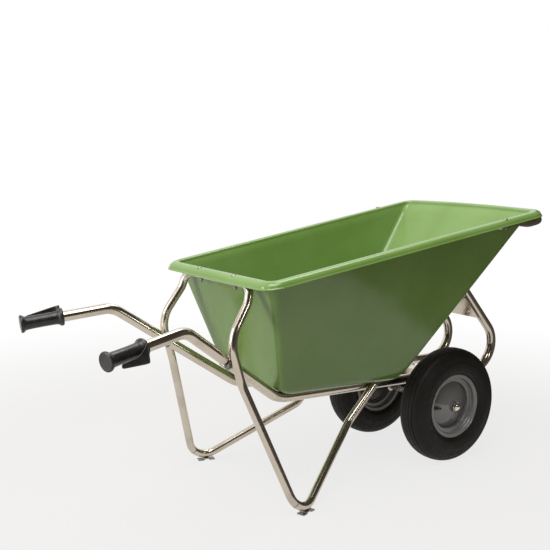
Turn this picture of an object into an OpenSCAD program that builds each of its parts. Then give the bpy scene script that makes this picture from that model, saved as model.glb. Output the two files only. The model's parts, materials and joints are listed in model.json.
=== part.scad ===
// Two wheel wheelbarrow: moulded tub on a bent tube frame with two pneumatic wheels.
// Lengths are in millimetres. Heights are measured from the ground and distances along
// the barrow from the axle; the last module moves the whole barrow onto its centre.

/* [Tub] */
// Rim inner edge at the rear, behind the axle
rim_rear = 815; // [780:1:850]
// Rim inner edge at the front corners, ahead of the axle
rim_front = 278; // [260:1:300]
// How far the front edge bows forward of its corners
front_bulge = 22; // [5:1:40]
// Inside width between the rims at the rear
rim_rear_w = 552; // [530:2:580]
// Inside width between the rims at the front
rim_front_w = 624; // [600:2:650]
// Height of the rim top at its rear inner edge
rim_rear_h = 723; // [700:1:745]
// Height of the rim top at its front inner edge
rim_front_h = 879; // [850:1:900]
// Width of the rolled rim
rim_w = 37; // [34:0.5:40]
// Depth of the rolled rim
rim_drop = 18; // [16:0.5:24]
// Outward lip at the foot of the rim
rim_lip = 3; // [1:0.5:6]
// Rear end of the floor, behind the axle
floor_rear = 692; // [670:1:710]
// Front end of the floor, behind the axle
floor_front = 219; // [200:1:240]
// Width of the floor at the rear
floor_rear_w = 338; // [310:2:360]
// Width of the floor at the front
floor_front_w = 364; // [340:2:390]
// Setback of the rounding between floor and side walls
floor_round = 40; // [25:1:50]
// Setback of the rounding at the rear of the floor, above the bend of the rails
rear_round = 76; // [70:1:90]
// Inside corner radius at the rim
corner_top = 24; // [16:1:50]
// Inside corner radius at the floor
corner_floor = 20; // [15:1:50]
// Wall thickness
tub_wall = 3; // [2:0.1:3.2]

/* [Main tubes] */
// Diameter of the handle and rail tube
tube_d = 33.7; // [32:0.1:35]
// Wall of all tubes
tube_wall = 2; // [1.5:0.1:2.5]
// Distance of each rail from the middle
rail_y = 111; // [108:1:120]
// Height of the rail centre above the axle
rail_z = 288; // [280:1:300]
// Drop of the rail for each millimetre forward
rail_fall = 0.038; // [0.02:0.002:0.07]
// Rear bend of the rail, behind the axle
rail_bend_x = 678; // [650:1:690]
// Handle bend, behind the axle
handle_bend_x = 1080; // [1060:1:1100]
// Handle bend, from the middle
handle_bend_y = 231; // [225:1:250]
// Handle bend, above the ground
handle_bend_z = 599; // [580:1:620]
// Outer end of the grip, behind the axle
handle_end_x = 1358; // [1340:1:1380]
// Outer end of the grip, from the middle
handle_end_y = 302; // [290:1:315]
// Outer end of the grip, above the ground
handle_end_z = 565; // [550:1:590]
// Bend radius at the handle
handle_bend_r = 80; // [60:5:110]
// Bend radius at the rear of the rail
rail_bend_r = 130; // [90:5:160]
// Bend radius of the tipping bow
bow_r = 92; // [80:1:100]
// Foremost point of the tipping bow, ahead of the axle
bow_front = 334; // [320:1:345]
// Slope of the bow arm above level
arm_angle = 49; // [45:1:55]

/* [Leg bow] */
// Diameter of the leg tube
leg_d = 26.9; // [25:0.1:27.5]
// Where the leg crosses the handle tube, from the handle bend
cross_run = 217; // [195:1:235]
// Lean of the leg at the crossing, forward for each millimetre down
leg_lean = 0.28; // [0.2:0.01:0.36]
// Leg length above the crossing to its bend
leg_above = 69; // [60:1:85]
// Leg length below the crossing to its bend
leg_below = 72; // [60:1:90]
// Leg from the middle where it leaves the rear rim
leg_top_y = 187; // [178:1:200]
// Knee in the leg, below the rim run
knee_drop = 52; // [48:1:60]
// Knee in the leg, behind the rim run
knee_back = 15; // [8:1:22]
// Foot corner, behind the axle
foot_x = 737; // [715:1:755]
// Foot corner, from the middle
foot_y = 316; // [305:1:335]
// Bend radius at the foot
foot_r = 62; // [55:1:75]
// Where the strut crosses the rail, behind the axle
strut_x = 303; // [290:1:330]
// Slope of the upper strut above level
strut_angle = 45; // [40:1:50]
// Length of the upper strut to its kink
strut_run = 150; // [130:1:170]
// Length of strut past the middle of the rail
strut_end = 10; // [6:1:12]
// Thickness of the foot strip
sole_t = 3.5; // [3:0.5:6]
// Height of the foot bridge above the ground
bridge_h = 8.5; // [7:0.5:14]
// Width of the foot strip
sole_w = 26; // [24:1:40]
// Length of the foot strip
sole_len = 58; // [54:1:70]

/* [Wheels] */
// Tyre diameter
tyre_d = 403; // [390:1:410]
// Tyre width
tyre_w = 100; // [94:1:106]
// Distance between the middles of the wheels
track = 394; // [388:1:400]
// Rim flange diameter
flange_d = 228; // [224:1:232]
// Distance between the outsides of the rim flanges
flange_w = 74; // [70:1:80]
// Bead seat diameter
seat_d = 204; // [200:1:207]
// Rim well diameter
well_d = 172; // [166:1:180]
// Pressed steel thickness
press_t = 2.5; // [2:0.1:3]
// Hub tube diameter
hub_d = 36; // [34:0.5:40]
// Hub length
hub_len = 80; // [74:1:90]
// Axle diameter
axle_d = 20; // [18:0.5:22]
// Radial running clearance of the bushes on the axle
run_gap = 0.05; // [0.02:0.01:0.1]

/* [Grips] */
// Grip length
grip_len = 133; // [125:1:150]
// Grip body diameter
grip_d = 42; // [40:0.5:46]
// Grip end flange and collar diameter
grip_flange_d = 56; // [50:0.5:60]
// Reach of the knuckle guard back along the grip
guard_len = 111; // [90:1:116]
// Gap between guard and grip
guard_gap = 15; // [12:0.5:20]
// Left grip's turn on its handle, short of half a turn from the right one
grip_roll = 9; // [0:1:15]

/* [Fasteners and plates] */
// Bolt shank diameter
bolt_d = 8; // [6:0.5:10]
// Rear rim bolts from the middle
rear_bolt_y = 100; // [80:1:120]
// Side rim bolts, ahead of the axle
side_bolt_x = 125; // [105:1:145]
// Plate thickness of brackets
plate_t = 6; // [4:0.5:8]
// Width of the bow cross plate along the arms
cross_plate_w = 110; // [80:1:130]
// Thickness of the bow cross plate
cross_plate_t = 3; // [2:0.5:5]
// Clearance left between fixed pieces
seat_gap = 0.1; // [0.05:0.05:0.3]

/* [Hidden] */
$fn = 64;

steel = "silver";
plastic_green = [0.36, 0.5, 0.24];
black = [0.13, 0.13, 0.13];
wheel_grey = [0.35, 0.35, 0.36];
zinc = [0.75, 0.72, 0.66];

function unit(v) = v / norm(v);
function lerp(a, b, t) = a + (b - a) * t;

// Bent rods: corner points with a bend radius at each, straight runs between tangent points
function run_dir(p, i) = unit(p[i + 1] - p[i]);
function turn(p, i) = acos(max(-1, min(1, run_dir(p, i - 1) * run_dir(p, i))));
function setback(p, r, i) = i == 0 || i == len(p) - 1 ? 0 : r[i] * tan(turn(p, i) / 2);
function inward(p, i) =
    let (u = run_dir(p, i - 1), v = run_dir(p, i)) unit(v - (u * v) * u);
function bend_centre(p, r, i) =
    p[i] - run_dir(p, i - 1) * setback(p, r, i) + inward(p, i) * r[i];

// Bends that share a run get narrower together where the run is short for them
run_spare = 1;
function run_fit(p, r, i) =
    (norm(p[i + 1] - p[i]) - run_spare) / max(run_spare, setback(p, r, i) + setback(p, r, i + 1));
function fitted(p, r) =
    [for (i = [0 : len(p) - 1])
        r[i] * min(1, run_fit(p, r, max(0, i - 1)), run_fit(p, r, min(i, len(p) - 2)))];

module axes(x, y, z, o) {
    multmatrix([[x.x, y.x, z.x, o.x], [x.y, y.y, z.y, o.y], [x.z, y.z, z.z, o.z], [0, 0, 0, 1]])
        children();
}

module along(o, d) {
    x = unit(cross(abs(d.z) < 0.9 ? [0, 0, 1] : [1, 0, 0], d));
    axes(x, cross(d, x), d, o) children();
}

// Each run reaches a little into its bends and is a hair slimmer, so that the pieces join
lap = 0.8;
slim = 0.4;

module rod(p, r, d) {
    last = len(p) - 1;
    for (i = [0 : last - 1]) {
        u = run_dir(p, i);
        a = p[i] + u * (setback(p, r, i) - (i > 0 ? lap : 0));
        b = p[i + 1] - u * (setback(p, r, i + 1) - (i < last - 1 ? lap : 0));
        along(a, u) cylinder(d = d - slim, h = norm(b - a));
    }
    for (i = [1 : last - 1]) {
        n = inward(p, i);
        u = run_dir(p, i - 1);
        axes(-n, u, cross(-n, u), bend_centre(p, r, i))
            rotate_extrude(angle = turn(p, i), $fn = max(64, r[i] / 3))
                translate([r[i], 0]) circle(d = d, $fn = 64);
    }
}

bore_over = 1;
function stretched(p) =
    let (n = len(p) - 1)
    [for (i = [0 : n])
        i == 0 ? p[0] - run_dir(p, 0) * bore_over
        : i == n ? p[n] + run_dir(p, n - 1) * bore_over
        : p[i]];

module bent_tube(p, r, d) {
    difference() {
        rod(p, r, d);
        rod(stretched(p), r, d - 2 * tube_wall);
    }
}

module both_sides() {
    children();
    mirror([0, 1, 0]) children();
}

// Rails, handles and tipping bows
axle_z = tyre_d / 2;
tube_r = tube_d / 2;
leg_r = leg_d / 2;
rail_dir = unit([1, 0, -rail_fall]);
function rail_height(x) = rail_z - rail_fall * x;
grip_end_t = 6;
handle_end = [-handle_end_x, handle_end_y, handle_end_z];
handle_bend = [-handle_bend_x, handle_bend_y, handle_bend_z];
handle_dir = unit(handle_bend - handle_end);
rail_bend = [-rail_bend_x, rail_y, rail_height(-rail_bend_x)];
arm_dir = [-cos(arm_angle), 0, sin(arm_angle)];
arm_normal = [sin(arm_angle), 0, cos(arm_angle)];
bow_mid_x = bow_front - tube_r - bow_r;
bow_mid = [bow_mid_x, rail_y, rail_height(bow_mid_x) + bow_r / rail_dir.x];
arm_foot = bow_mid + bow_r * arm_normal;
bow_turn = acos(rail_dir * arm_dir);
bow_corner = arm_foot - arm_dir * bow_r * tan(bow_turn / 2);

// Front wall plane, through its rim and floor edges
rim_slope = (rim_front_h - rim_rear_h) / (rim_front + rim_rear);
rim_tilt = atan(rim_slope);
function rim_height(x) = rim_rear_h + rim_slope * (x + rim_rear);
floor_gap = tube_r / rail_dir.x + seat_gap;
function floor_height(x) = rail_height(x) + floor_gap;
pad_inner = 52;
pad_bulge = front_bulge * (1 - (2 * (rail_y - pad_inner) / rim_front_w) ^ 2);
wall_top = [rim_front + pad_bulge + tub_wall, 0, rim_height(rim_front + pad_bulge)];
wall_foot = [-floor_front + tub_wall, 0, floor_height(-floor_front)];
wall_dir = unit(wall_top - wall_foot);
wall_normal = [wall_dir.z, 0, -wall_dir.x];
pad_t = 4;
pad_gap = 0.3;
pad_plane = wall_foot + wall_normal * pad_gap;
function to_pad(p, d, depth) =
    p + d * (((pad_plane + wall_normal * depth - p) * wall_normal) / (d * wall_normal));
arm_end = to_pad(arm_foot, arm_dir, pad_t + seat_gap);
arm_past = tube_d;
main_path = [
    handle_end + handle_dir * grip_end_t, handle_bend, rail_bend, bow_corner,
    arm_end + arm_dir * arm_past
];
main_bends = [0, handle_bend_r, rail_bend_r, bow_r, 0];
keep_size = 400;

module left_main_tube() {
    color(steel)
    difference() {
        bent_tube(main_path, main_bends, tube_d);
        axes(wall_dir, [0, 1, 0], -wall_normal, arm_end)
            translate([-keep_size / 2, -keep_size / 2, 0]) cube(keep_size);
        strap_bolt_hole();
    }
}

module right_main_tube() {
    mirror([0, 1, 0]) left_main_tube();
}

// Leg bow: crossing with the handle tube first, then everything hung from it
slant_dir = unit(rail_bend - handle_bend);
leg_dir = unit([leg_lean, 0, -1]);
cross_out = unit(cross(slant_dir, leg_dir));
strap_t = 3;
strap_w = 26;
strap_back = 18;
cross_main = handle_bend + slant_dir * cross_run;
cross_leg = cross_main + cross_out * (tube_r + leg_r + seat_gap);
leg_bend_low = cross_leg + leg_dir * leg_below;
rim_mid = rim_w / 2;
leg_in = 3;
rim_washer_t = 2;
leg_hang = tub_wall + rim_washer_t + leg_r + 2 * seat_gap;
leg_top_x = -rim_rear - rim_mid + leg_in;
rear_bolt_x = leg_top_x - leg_hang * sin(rim_tilt);
rear_bolt_z = rim_height(rear_bolt_x);
leg_top_z = rear_bolt_z - leg_hang * cos(rim_tilt);
leg_top = [leg_top_x, leg_top_y, leg_top_z];
strut_y = rail_y + tube_r + leg_r + seat_gap;
strut_dir = [cos(strut_angle), 0, sin(strut_angle)];
strut_cross = [-strut_x, strut_y, rail_height(-strut_x)];
strut_kink = strut_cross - strut_dir * strut_run;
strut_tip = strut_cross + strut_dir * strut_end;

// Corner height that puts the lowest point of the foot bend on the sole
function foot_path(z) = [leg_bend_low, [-foot_x, foot_y, z], strut_kink];
foot_bends = [0, foot_r, 0];
function foot_axis(z) = cross(-inward(foot_path(z), 1), run_dir(foot_path(z), 0));
function foot_down(z) = unit([0, 0, 1] - foot_axis(z).z * foot_axis(z));
function foot_low(z) = bend_centre(foot_path(z), foot_bends, 1) - foot_r * foot_down(z);
foot_lift = bridge_h + leg_r + seat_gap;
function foot_solve(z, n) = n == 0 ? z : foot_solve(z + foot_lift - foot_low(z).z, n - 1);
foot_z = foot_solve(-20, 12);
foot_point = foot_low(foot_z);
foot_tangent = cross(foot_axis(foot_z), foot_down(foot_z));
foot_turn = atan2(foot_tangent.y, foot_tangent.x);

// The bend above the crossing comes down with the rim where the knee leaves it little room
bend_room = 0.75 * (leg_top.z - knee_drop - cross_leg.z) / -leg_dir.z;
leg_reach = min(leg_above, bend_room);
leg_bend_top = cross_leg - leg_dir * leg_reach;
knee_share = knee_drop / (leg_top.z - leg_bend_top.z);
leg_knee = [
    leg_top.x - knee_back, lerp(leg_top.y, leg_bend_top.y, knee_share), leg_top.z - knee_drop
];
leg_half = [
    leg_top, leg_knee, leg_bend_top, leg_bend_low, [-foot_x, foot_y, foot_z], strut_kink, strut_tip
];
// The bend above the strap leaves the leg straight where the strap lies against it
elbow_turn = acos(leg_dir * unit(leg_bend_top - leg_knee));
elbow_bend = min(105, (leg_reach - strap_w / 2) / tan(elbow_turn / 2));
leg_half_bends = [40, 62, elbow_bend, 140, foot_r, 60, 0];
half_last = len(leg_half) - 1;
leg_path = concat(
    [for (i = [half_last : -1 : 0]) [leg_half[i].x, -leg_half[i].y, leg_half[i].z]], leg_half);
leg_bends = fitted(
    leg_path, concat([for (i = [half_last : -1 : 0]) leg_half_bends[i]], leg_half_bends));

module leg_bow() {
    color(steel)
    difference() {
        bent_tube(leg_path, leg_bends, leg_d);
        rear_bolt_holes(leg_d);
        both_sides() strap_bolt_hole();
    }
}

module left_leg_strap() {
    color(black)
    difference() {
        along(cross_main - slant_dir * strap_back, slant_dir) difference() {
            cylinder(d = tube_d + 2 * (strap_t + seat_gap), h = strap_w);
            translate([0, 0, -bore_over])
                cylinder(d = tube_d + 2 * seat_gap, h = strap_w + 2 * bore_over);
        }
        along(cross_leg - leg_dir * leg_above, leg_dir)
            cylinder(d = leg_d + 4 * seat_gap, h = leg_above + leg_below);
        strap_bolt_hole();
    }
}

module right_leg_strap() {
    mirror([0, 1, 0]) left_leg_strap();
}

// Bolt from the inner side of the handle tube into the leg
head_h = 0.65 * bolt_d;
head_d = 1.85 * bolt_d;
nut_h = 0.8 * bolt_d;
hole_d = bolt_d + 2 * seat_gap;
strap_head = cross_main - cross_out * (tube_r + strap_t + 2 * seat_gap);
strap_bolt_len = tube_d + 2 * strap_t + leg_r + 4 * seat_gap;

module hex_bolt(len) {
    translate([0, 0, -head_h]) cylinder(d = head_d, h = head_h, $fn = 6);
    cylinder(d = bolt_d, h = len);
}

module dome_bolt(len) {
    intersection() {
        translate([0, 0, head_d * 0.34]) sphere(d = head_d * 1.36);
        translate([0, 0, -head_h]) cylinder(d = head_d * 1.1, h = head_h);
    }
    cylinder(d = bolt_d, h = len);
}

module hex_nut() {
    difference() {
        cylinder(d = head_d, h = nut_h, $fn = 6);
        translate([0, 0, -bore_over]) cylinder(d = hole_d, h = nut_h + 2 * bore_over);
    }
}

module strap_bolt_hole() {
    along(strap_head, cross_out) cylinder(d = hole_d, h = strap_bolt_len + seat_gap);
}

module leg_strap_bolts() {
    color(zinc) both_sides() along(strap_head, cross_out) hex_bolt(strap_bolt_len);
}

// Foot shoe: a strip bent to a hat, its bridge under the bend of the leg
module left_foot_shoe() {
    flap = 17;
    ramp = 6;
    low = sole_len / 2 - flap;
    hole_at = sole_len / 2 - 0.55 * flap;
    half = [
        [sole_len / 2, 0], [sole_len / 2, sole_t], [low + 0.4 * sole_t, sole_t],
        [low - ramp + 0.4 * sole_t, bridge_h]
    ];
    half_under = [[low - ramp - 0.2 * sole_t, bridge_h - sole_t], [low - 0.2 * sole_t, 0]];
    color(zinc)
    translate([foot_point.x, foot_point.y, 0]) rotate([0, 0, foot_turn]) difference() {
        rotate([90, 0, 0]) linear_extrude(sole_w, center = true) polygon(concat(
            half, [for (p = reversed(half)) [-p.x, p.y]],
            [for (p = reversed(half_under)) [-p.x, p.y]], half_under
        ));
        for (s = [-1, 1]) translate([s * hole_at, 0, -bore_over])
            cylinder(d = bolt_d * 0.8, h = sole_t + 2 * bore_over);
    }
}

module right_foot_shoe() {
    mirror([0, 1, 0]) left_foot_shoe();
}

// Tub: plan outlines at a level between floor (0) and rim (1), let out by an offset
arc_steps = 6;
front_steps = 8;
function corner_points(cx, cy, r, a0, a1, k0, k1) =
    [for (k = [k0 : k1]) let (a = lerp(a0, a1, k / arc_steps)) [cx + r * cos(a), cy + r * sin(a)]];
function outline(t, o) =
    let (
        xr = -lerp(floor_rear, rim_rear, t) - o,
        xf = lerp(-floor_front, rim_front, t) + o,
        wr = lerp(floor_rear_w, rim_rear_w, t) / 2 + o,
        wf = lerp(floor_front_w, rim_front_w, t) / 2 + o,
        r = max(4, lerp(corner_floor, corner_top, t) + o),
        b = front_bulge * t,
        a = atan(2 * b * (wf - r) / wf ^ 2),
        y0 = wf - r + r * sin(a),
        cx = xf + b * (1 - (y0 / wf) ^ 2) - r * cos(a)
    )
    concat(
        [for (k = [0 : front_steps]) let (y = lerp(-y0, y0, k / front_steps))
            [xf + b * (1 - (y / wf) ^ 2), y]],
        corner_points(cx, wf - r, r, a, 90, 1, arc_steps),
        corner_points(xr + r, wr - r, r, 90, 180, 0, arc_steps),
        corner_points(xr + r, r - wr, r, 180, 270, 0, arc_steps),
        corner_points(cx, r - wf, r, 270, 360 - a, 0, arc_steps - 1)
    );
function floor_ring(o, base) = [for (p = outline(0, o)) [p.x, p.y, floor_height(p.x) + base]];
function floor_flat(o, base) =
    [for (p = outline(0, o - floor_round)) let (x = max(p.x, rear_round - o - floor_rear))
        [x, p.y, floor_height(x) + base]];
function rim_ring(o, q) = [for (p = outline(1, o)) [p.x, p.y, rim_height(p.x) + q]];
function level_ring(t, o, base) =
    let (a = floor_ring(o, base), b = rim_ring(o, 0))
    [for (i = [0 : len(a) - 1]) lerp(a[i], b[i], t)];
round_level = 0.085;
round_steps = 4;
function round_rings(o, base) =
    let (f = floor_flat(o, base), s = floor_ring(o, base), w = level_ring(round_level, o, base))
    [for (k = [0 : round_steps]) let (u = k / round_steps)
        [for (i = [0 : len(f) - 1]) (1 - u) ^ 2 * f[i] + 2 * u * (1 - u) * s[i] + u ^ 2 * w[i]]];
wall_levels = [0.3, 0.55, 0.8, 0.97];
roll = 7;
function rim_profile() = [
    [0.15 * roll, -0.65 * roll], [0.45 * roll, -0.2 * roll], [roll, 0],
    [rim_w - roll, 0], [rim_w - 0.45 * roll, -0.2 * roll], [rim_w - 0.12 * roll, -0.6 * roll],
    [rim_w, -roll], [rim_w, -rim_drop + 5], [rim_w + 1, -rim_drop + 3],
    [rim_w + rim_lip, -rim_drop + 2], [rim_w + rim_lip, -rim_drop], [rim_w - tub_wall, -rim_drop],
    [rim_w - tub_wall, -roll - 1], [rim_w - tub_wall - 1, -tub_wall - 1], [rim_w - tub_wall - 2, -tub_wall],
    [tub_wall + 2, -tub_wall], [tub_wall + 0.6, -tub_wall - 1.2]
];
function reversed(v) = [for (i = [len(v) - 1 : -1 : 0]) v[i]];
tub_rings = concat(
    round_rings(0, tub_wall),
    [for (t = wall_levels) level_ring(t, 0, tub_wall)],
    [for (p = rim_profile()) rim_ring(p.x, p.y)],
    [for (t = reversed(wall_levels)) level_ring(t, tub_wall, 0)],
    reversed(round_rings(tub_wall, 0))
);

function middle(r) = [for (k = [0 : 2]) ([for (v = r) v[k]] * [for (v = r) 1]) / len(r)];

module loft(rings) {
    n = len(rings[0]);
    m = len(rings);
    polyhedron(
        points = concat([for (r = rings) each r], [middle(rings[0]), middle(rings[m - 1])]),
        faces = concat(
            [for (i = [0 : n - 1]) [(i + 1) % n, i, m * n]],
            [for (j = [0 : m - 2], i = [0 : n - 1], k = [0, 1])
                let (a = j * n + i, b = j * n + (i + 1) % n) k == 0 ? [a, b, b + n] : [a, b + n, a + n]],
            [for (i = [0 : n - 1]) [(m - 1) * n + i, (m - 1) * n + (i + 1) % n, m * n + 1]]
        )
    );
}

rim_head = head_h;
rear_bolt_len = tub_wall + rim_washer_t + leg_d + nut_h + 3 * seat_gap + 6;
function rim_half(x) = lerp(rim_rear_w, rim_front_w, (x + rim_rear) / (rim_front + rim_rear)) / 2;
side_bolt_y = rim_half(side_bolt_x) + rim_mid;
side_bolt_z = rim_height(side_bolt_x);

module at_rear_bolts() {
    for (s = [-1, 1]) translate([rear_bolt_x, s * rear_bolt_y, rear_bolt_z])
        rotate([0, -rim_tilt, 0]) rotate([180, 0, 0]) children();
}

module at_side_bolts() {
    for (s = [-1, 1]) translate([side_bolt_x, s * side_bolt_y, side_bolt_z])
        rotate([0, -rim_tilt, 0]) rotate([180, 0, 0]) children();
}

module rear_bolt_holes(depth) {
    at_rear_bolts() translate([0, 0, -rim_head]) cylinder(d = hole_d, h = rear_bolt_len + depth);
}

module tub() {
    color(plastic_green)
    difference() {
        loft(tub_rings);
        at_rear_bolts() translate([0, 0, -rim_head]) cylinder(d = hole_d, h = 2 * rim_head + tub_wall);
        at_side_bolts() translate([0, 0, -rim_head]) cylinder(d = hole_d, h = 2 * rim_head + tub_wall);
        at_wall_bolts() translate([0, 0, -2 * tub_wall]) cylinder(d = hole_d, h = 5 * tub_wall);
    }
}

module rear_rim_bolts() {
    color(zinc) at_rear_bolts() translate([0, 0, -2 * seat_gap]) dome_bolt(rear_bolt_len);
}

module rear_rim_washers() {
    color(black) at_rear_bolts() translate([0, 0, tub_wall + seat_gap])
        ring(washer_d, hole_d, rim_washer_t - seat_gap);
}

module rear_rim_nuts() {
    color(zinc) at_rear_bolts() translate([0, 0, tub_wall + rim_washer_t + leg_d + 3 * seat_gap]) hex_nut();
}

// Front rim bow: tube under the lip, with a flat tongue on each end
bow_tube_in = rim_w + rim_lip - leg_r;
bow_tube_drop = rim_drop + leg_r + seat_gap;
tongue_t = 6;
tongue_len = 90;
tongue_w = 30;
crimp = 28;
tongue_x = side_bolt_x + 45;
function under_rim(x, y) = [x, y, rim_height(x) - bow_tube_drop];
bow_side = under_rim(tongue_x + crimp, rim_half(tongue_x + crimp) + bow_tube_in);
bow_front_x = rim_front + bow_tube_in;
bow_corner_front = under_rim(bow_front_x, rim_half(bow_front_x) + bow_tube_in);
bow_nose = under_rim(bow_front_x + 2 * front_bulge, 0);
function flipped(p) = [p.x, -p.y, p.z];
rim_bow_path = [flipped(bow_side), flipped(bow_corner_front), bow_nose, bow_corner_front, bow_side];
rim_bow_nose_r = 2000;
rim_bow_bends = [0, corner_top + bow_tube_in, rim_bow_nose_r, corner_top + bow_tube_in, 0];
tongue_dir = unit(bow_side - bow_corner_front);
tongue_up = cross([0, 1, 0], tongue_dir) * -1;

module rim_tongue() {
    axes(unit(cross(tongue_up, tongue_dir)), tongue_up, tongue_dir, bow_side) {
        hull() {
            translate([0, 0, -1]) cylinder(d = leg_d - 0.3, h = 1, $fn = 32);
            translate([0.1 - tongue_w / 2, leg_r - tongue_t + 0.1, crimp])
                cube([tongue_w - 0.2, tongue_t - 0.2, 1]);
        }
        translate([0, leg_r, crimp]) rotate([90, 0, 0]) linear_extrude(tongue_t) {
            translate([-tongue_w / 2, 0]) square([tongue_w, tongue_len - tongue_w / 2]);
            translate([0, tongue_len - tongue_w / 2]) circle(d = tongue_w - slim);
        }
    }
}

module front_rim_bow() {
    color(steel)
    difference() {
        union() {
            bent_tube(rim_bow_path, rim_bow_bends, leg_d);
            both_sides() rim_tongue();
        }
        at_side_bolts() cylinder(d = hole_d, h = 3 * rim_drop);
    }
}

side_bolt_len = rim_drop + tongue_t + nut_h + 6;

module side_rim_bolts() {
    color(zinc) at_side_bolts() translate([0, 0, -2 * seat_gap]) dome_bolt(side_bolt_len);
}

module side_rim_nuts() {
    color(zinc) at_side_bolts() translate([0, 0, rim_drop + tongue_t + 3 * seat_gap]) hex_nut();
}

// Cross plate on the rear side of the bow arms
cross_plate_from = 69;

module bow_cross_plate() {
    width = 2 * (rail_y + tube_r / 2);
    color(steel)
    axes([0, 1, 0], arm_dir, -arm_normal, [arm_foot.x, 0, arm_foot.z]
        + arm_dir * cross_plate_from - arm_normal * (tube_r + seat_gap))
        translate([-width / 2, 0, 0]) cube([width, cross_plate_w, cross_plate_t]);
}

// Arm pads: flat plates on the front wall, each with one bolt beside its arm
pad_outer = 22;
pad_h = 46;
pad_bolt_in = 35;
washer_t = 2;
washer_d = 22;
wall_bolt_at = to_pad(arm_foot, arm_dir, 0) - [0, pad_bolt_in, 0];

module left_arm_pad() {
    color(zinc)
    difference() {
        axes(wall_dir, [0, -1, 0], wall_normal, to_pad(arm_foot, arm_dir, 0))
            translate([-pad_h / 2, -pad_outer, 0]) cube([pad_h, pad_inner + pad_outer, pad_t]);
        at_wall_bolts() translate([0, 0, -2 * tub_wall]) cylinder(d = hole_d, h = 6 * tub_wall);
    }
}

module right_arm_pad() {
    mirror([0, 1, 0]) left_arm_pad();
}

module at_wall_bolts() {
    both_sides() along(wall_bolt_at, wall_normal) children();
}

washer_far = rail_y - pad_bolt_in + washer_d / 2;
wall_sag = pad_bulge - front_bulge * (1 - (2 * washer_far / rim_front_w) ^ 2);
wall_inside = -pad_gap - tub_wall - wall_sag - seat_gap;
wall_bolt_len = tub_wall + wall_sag + pad_t + nut_h + washer_t + 8;

module front_wall_washers() {
    color(zinc) at_wall_bolts() translate([0, 0, wall_inside - washer_t]) difference() {
        cylinder(d = washer_d, h = washer_t);
        translate([0, 0, -bore_over]) cylinder(d = hole_d, h = washer_t + 2 * bore_over);
    }
}

module front_wall_bolts() {
    color(zinc) at_wall_bolts() translate([0, 0, wall_inside - washer_t - seat_gap]) hex_bolt(wall_bolt_len);
}

module front_wall_nuts() {
    color(zinc) at_wall_bolts() translate([0, 0, pad_t + seat_gap]) hex_nut();
}

// Box section between the rails, above the axle
module rail_cross_bar() {
    bar_w = 46;
    bar_h = 24;
    reach = rail_y - tube_r / 2;
    color(steel)
    difference() {
        translate([-bar_w / 2, -reach, rail_z - bar_h / 2]) cube([bar_w, 2 * reach, bar_h]);
        translate([-bar_w / 2 + tube_wall, -rail_y, rail_z - bar_h / 2 + tube_wall])
            cube([bar_w - 2 * tube_wall, 2 * rail_y, bar_h - 2 * tube_wall]);
        both_sides() rail_room();
    }
}

module rail_room() {
    along([-strut_x, rail_y, rail_height(-strut_x)], rail_dir)
        cylinder(d = tube_d + 2 * seat_gap, h = 2 * strut_x);
}

// Axle and what holds it
hub_gap = 0.3;
spacer_d = axle_d + 10;
washer_big = hub_d - 4;
axle_washer_t = 2.5;
cap_d = axle_d + 6;
boss_out = rail_y + 18;
hub_inner = track / 2 - hub_len / 2;
hub_outer = track / 2 + hub_len / 2;
flange_t = 2;
axle_half = hub_outer + flange_t + hub_gap + axle_washer_t + 6;

module on_axle(y) {
    translate([0, y, axle_z]) rotate([-90, 0, 0]) children();
}

module ring(d_out, d_in, h) {
    difference() {
        cylinder(d = d_out, h = h);
        translate([0, 0, -bore_over]) cylinder(d = d_in, h = h + 2 * bore_over);
    }
}

axle_bore = axle_d + 2 * seat_gap;

module axle() {
    color(steel) on_axle(-axle_half) cylinder(d = axle_d, h = 2 * axle_half);
}

module left_axle_bracket() {
    top_half = 62;
    foot_half = 19;
    boss_d = axle_d + 14;
    boss_len = 36;
    color(steel)
    difference() {
        union() {
            translate([0, rail_y + plate_t / 2, 0]) rotate([90, 0, 0]) linear_extrude(plate_t) polygon([
                [-foot_half, axle_z - 2], [foot_half, axle_z - 2],
                [top_half, rail_height(top_half) - tube_r + 5], [top_half, rail_height(top_half)],
                [-top_half, rail_height(-top_half)], [-top_half, rail_height(-top_half) - tube_r + 5]
            ]);
            on_axle(boss_out - boss_len) cylinder(d = boss_d, h = boss_len);
        }
        on_axle(boss_out - boss_len - bore_over) cylinder(d = axle_bore, h = boss_len + 2 * bore_over);
        rail_room();
    }
}

module right_axle_bracket() {
    mirror([0, 1, 0]) left_axle_bracket();
}

module axle_spacers() {
    from = boss_out + seat_gap;
    color(steel) both_sides()
        on_axle(from) ring(spacer_d, axle_bore, hub_inner - flange_t - hub_gap - from);
}

module axle_washers() {
    color(zinc) both_sides() on_axle(hub_outer + flange_t + hub_gap) ring(washer_big, axle_bore, axle_washer_t);
}

module axle_caps() {
    from = hub_outer + flange_t + hub_gap + axle_washer_t + seat_gap;
    dome = 5;
    ball = (cap_d ^ 2 / 4 + dome ^ 2) / (2 * dome);
    reach = axle_half - from + seat_gap;
    color(zinc) both_sides() on_axle(from) difference() {
        union() {
            cylinder(d = cap_d, h = reach + 1);
            intersection() {
                translate([0, 0, reach + 1 + dome - ball]) sphere(r = ball);
                translate([0, 0, reach + 0.5]) cylinder(d = cap_d, h = dome + 1);
            }
        }
        translate([0, 0, -bore_over]) cylinder(d = axle_bore, h = reach + bore_over);
    }
}

// Grips: a revolved sleeve with an outer flange, an inner collar and a curved knuckle guard. One moulding
// serves both handles, so the left one sits turned over with its guard still on the outer side
flange_len = 11;
collar_len = 12;
grip_bore = tube_d + 2 * seat_gap;
grip_out = unit([0, 1, 0] - handle_dir.y * handle_dir);

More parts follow.
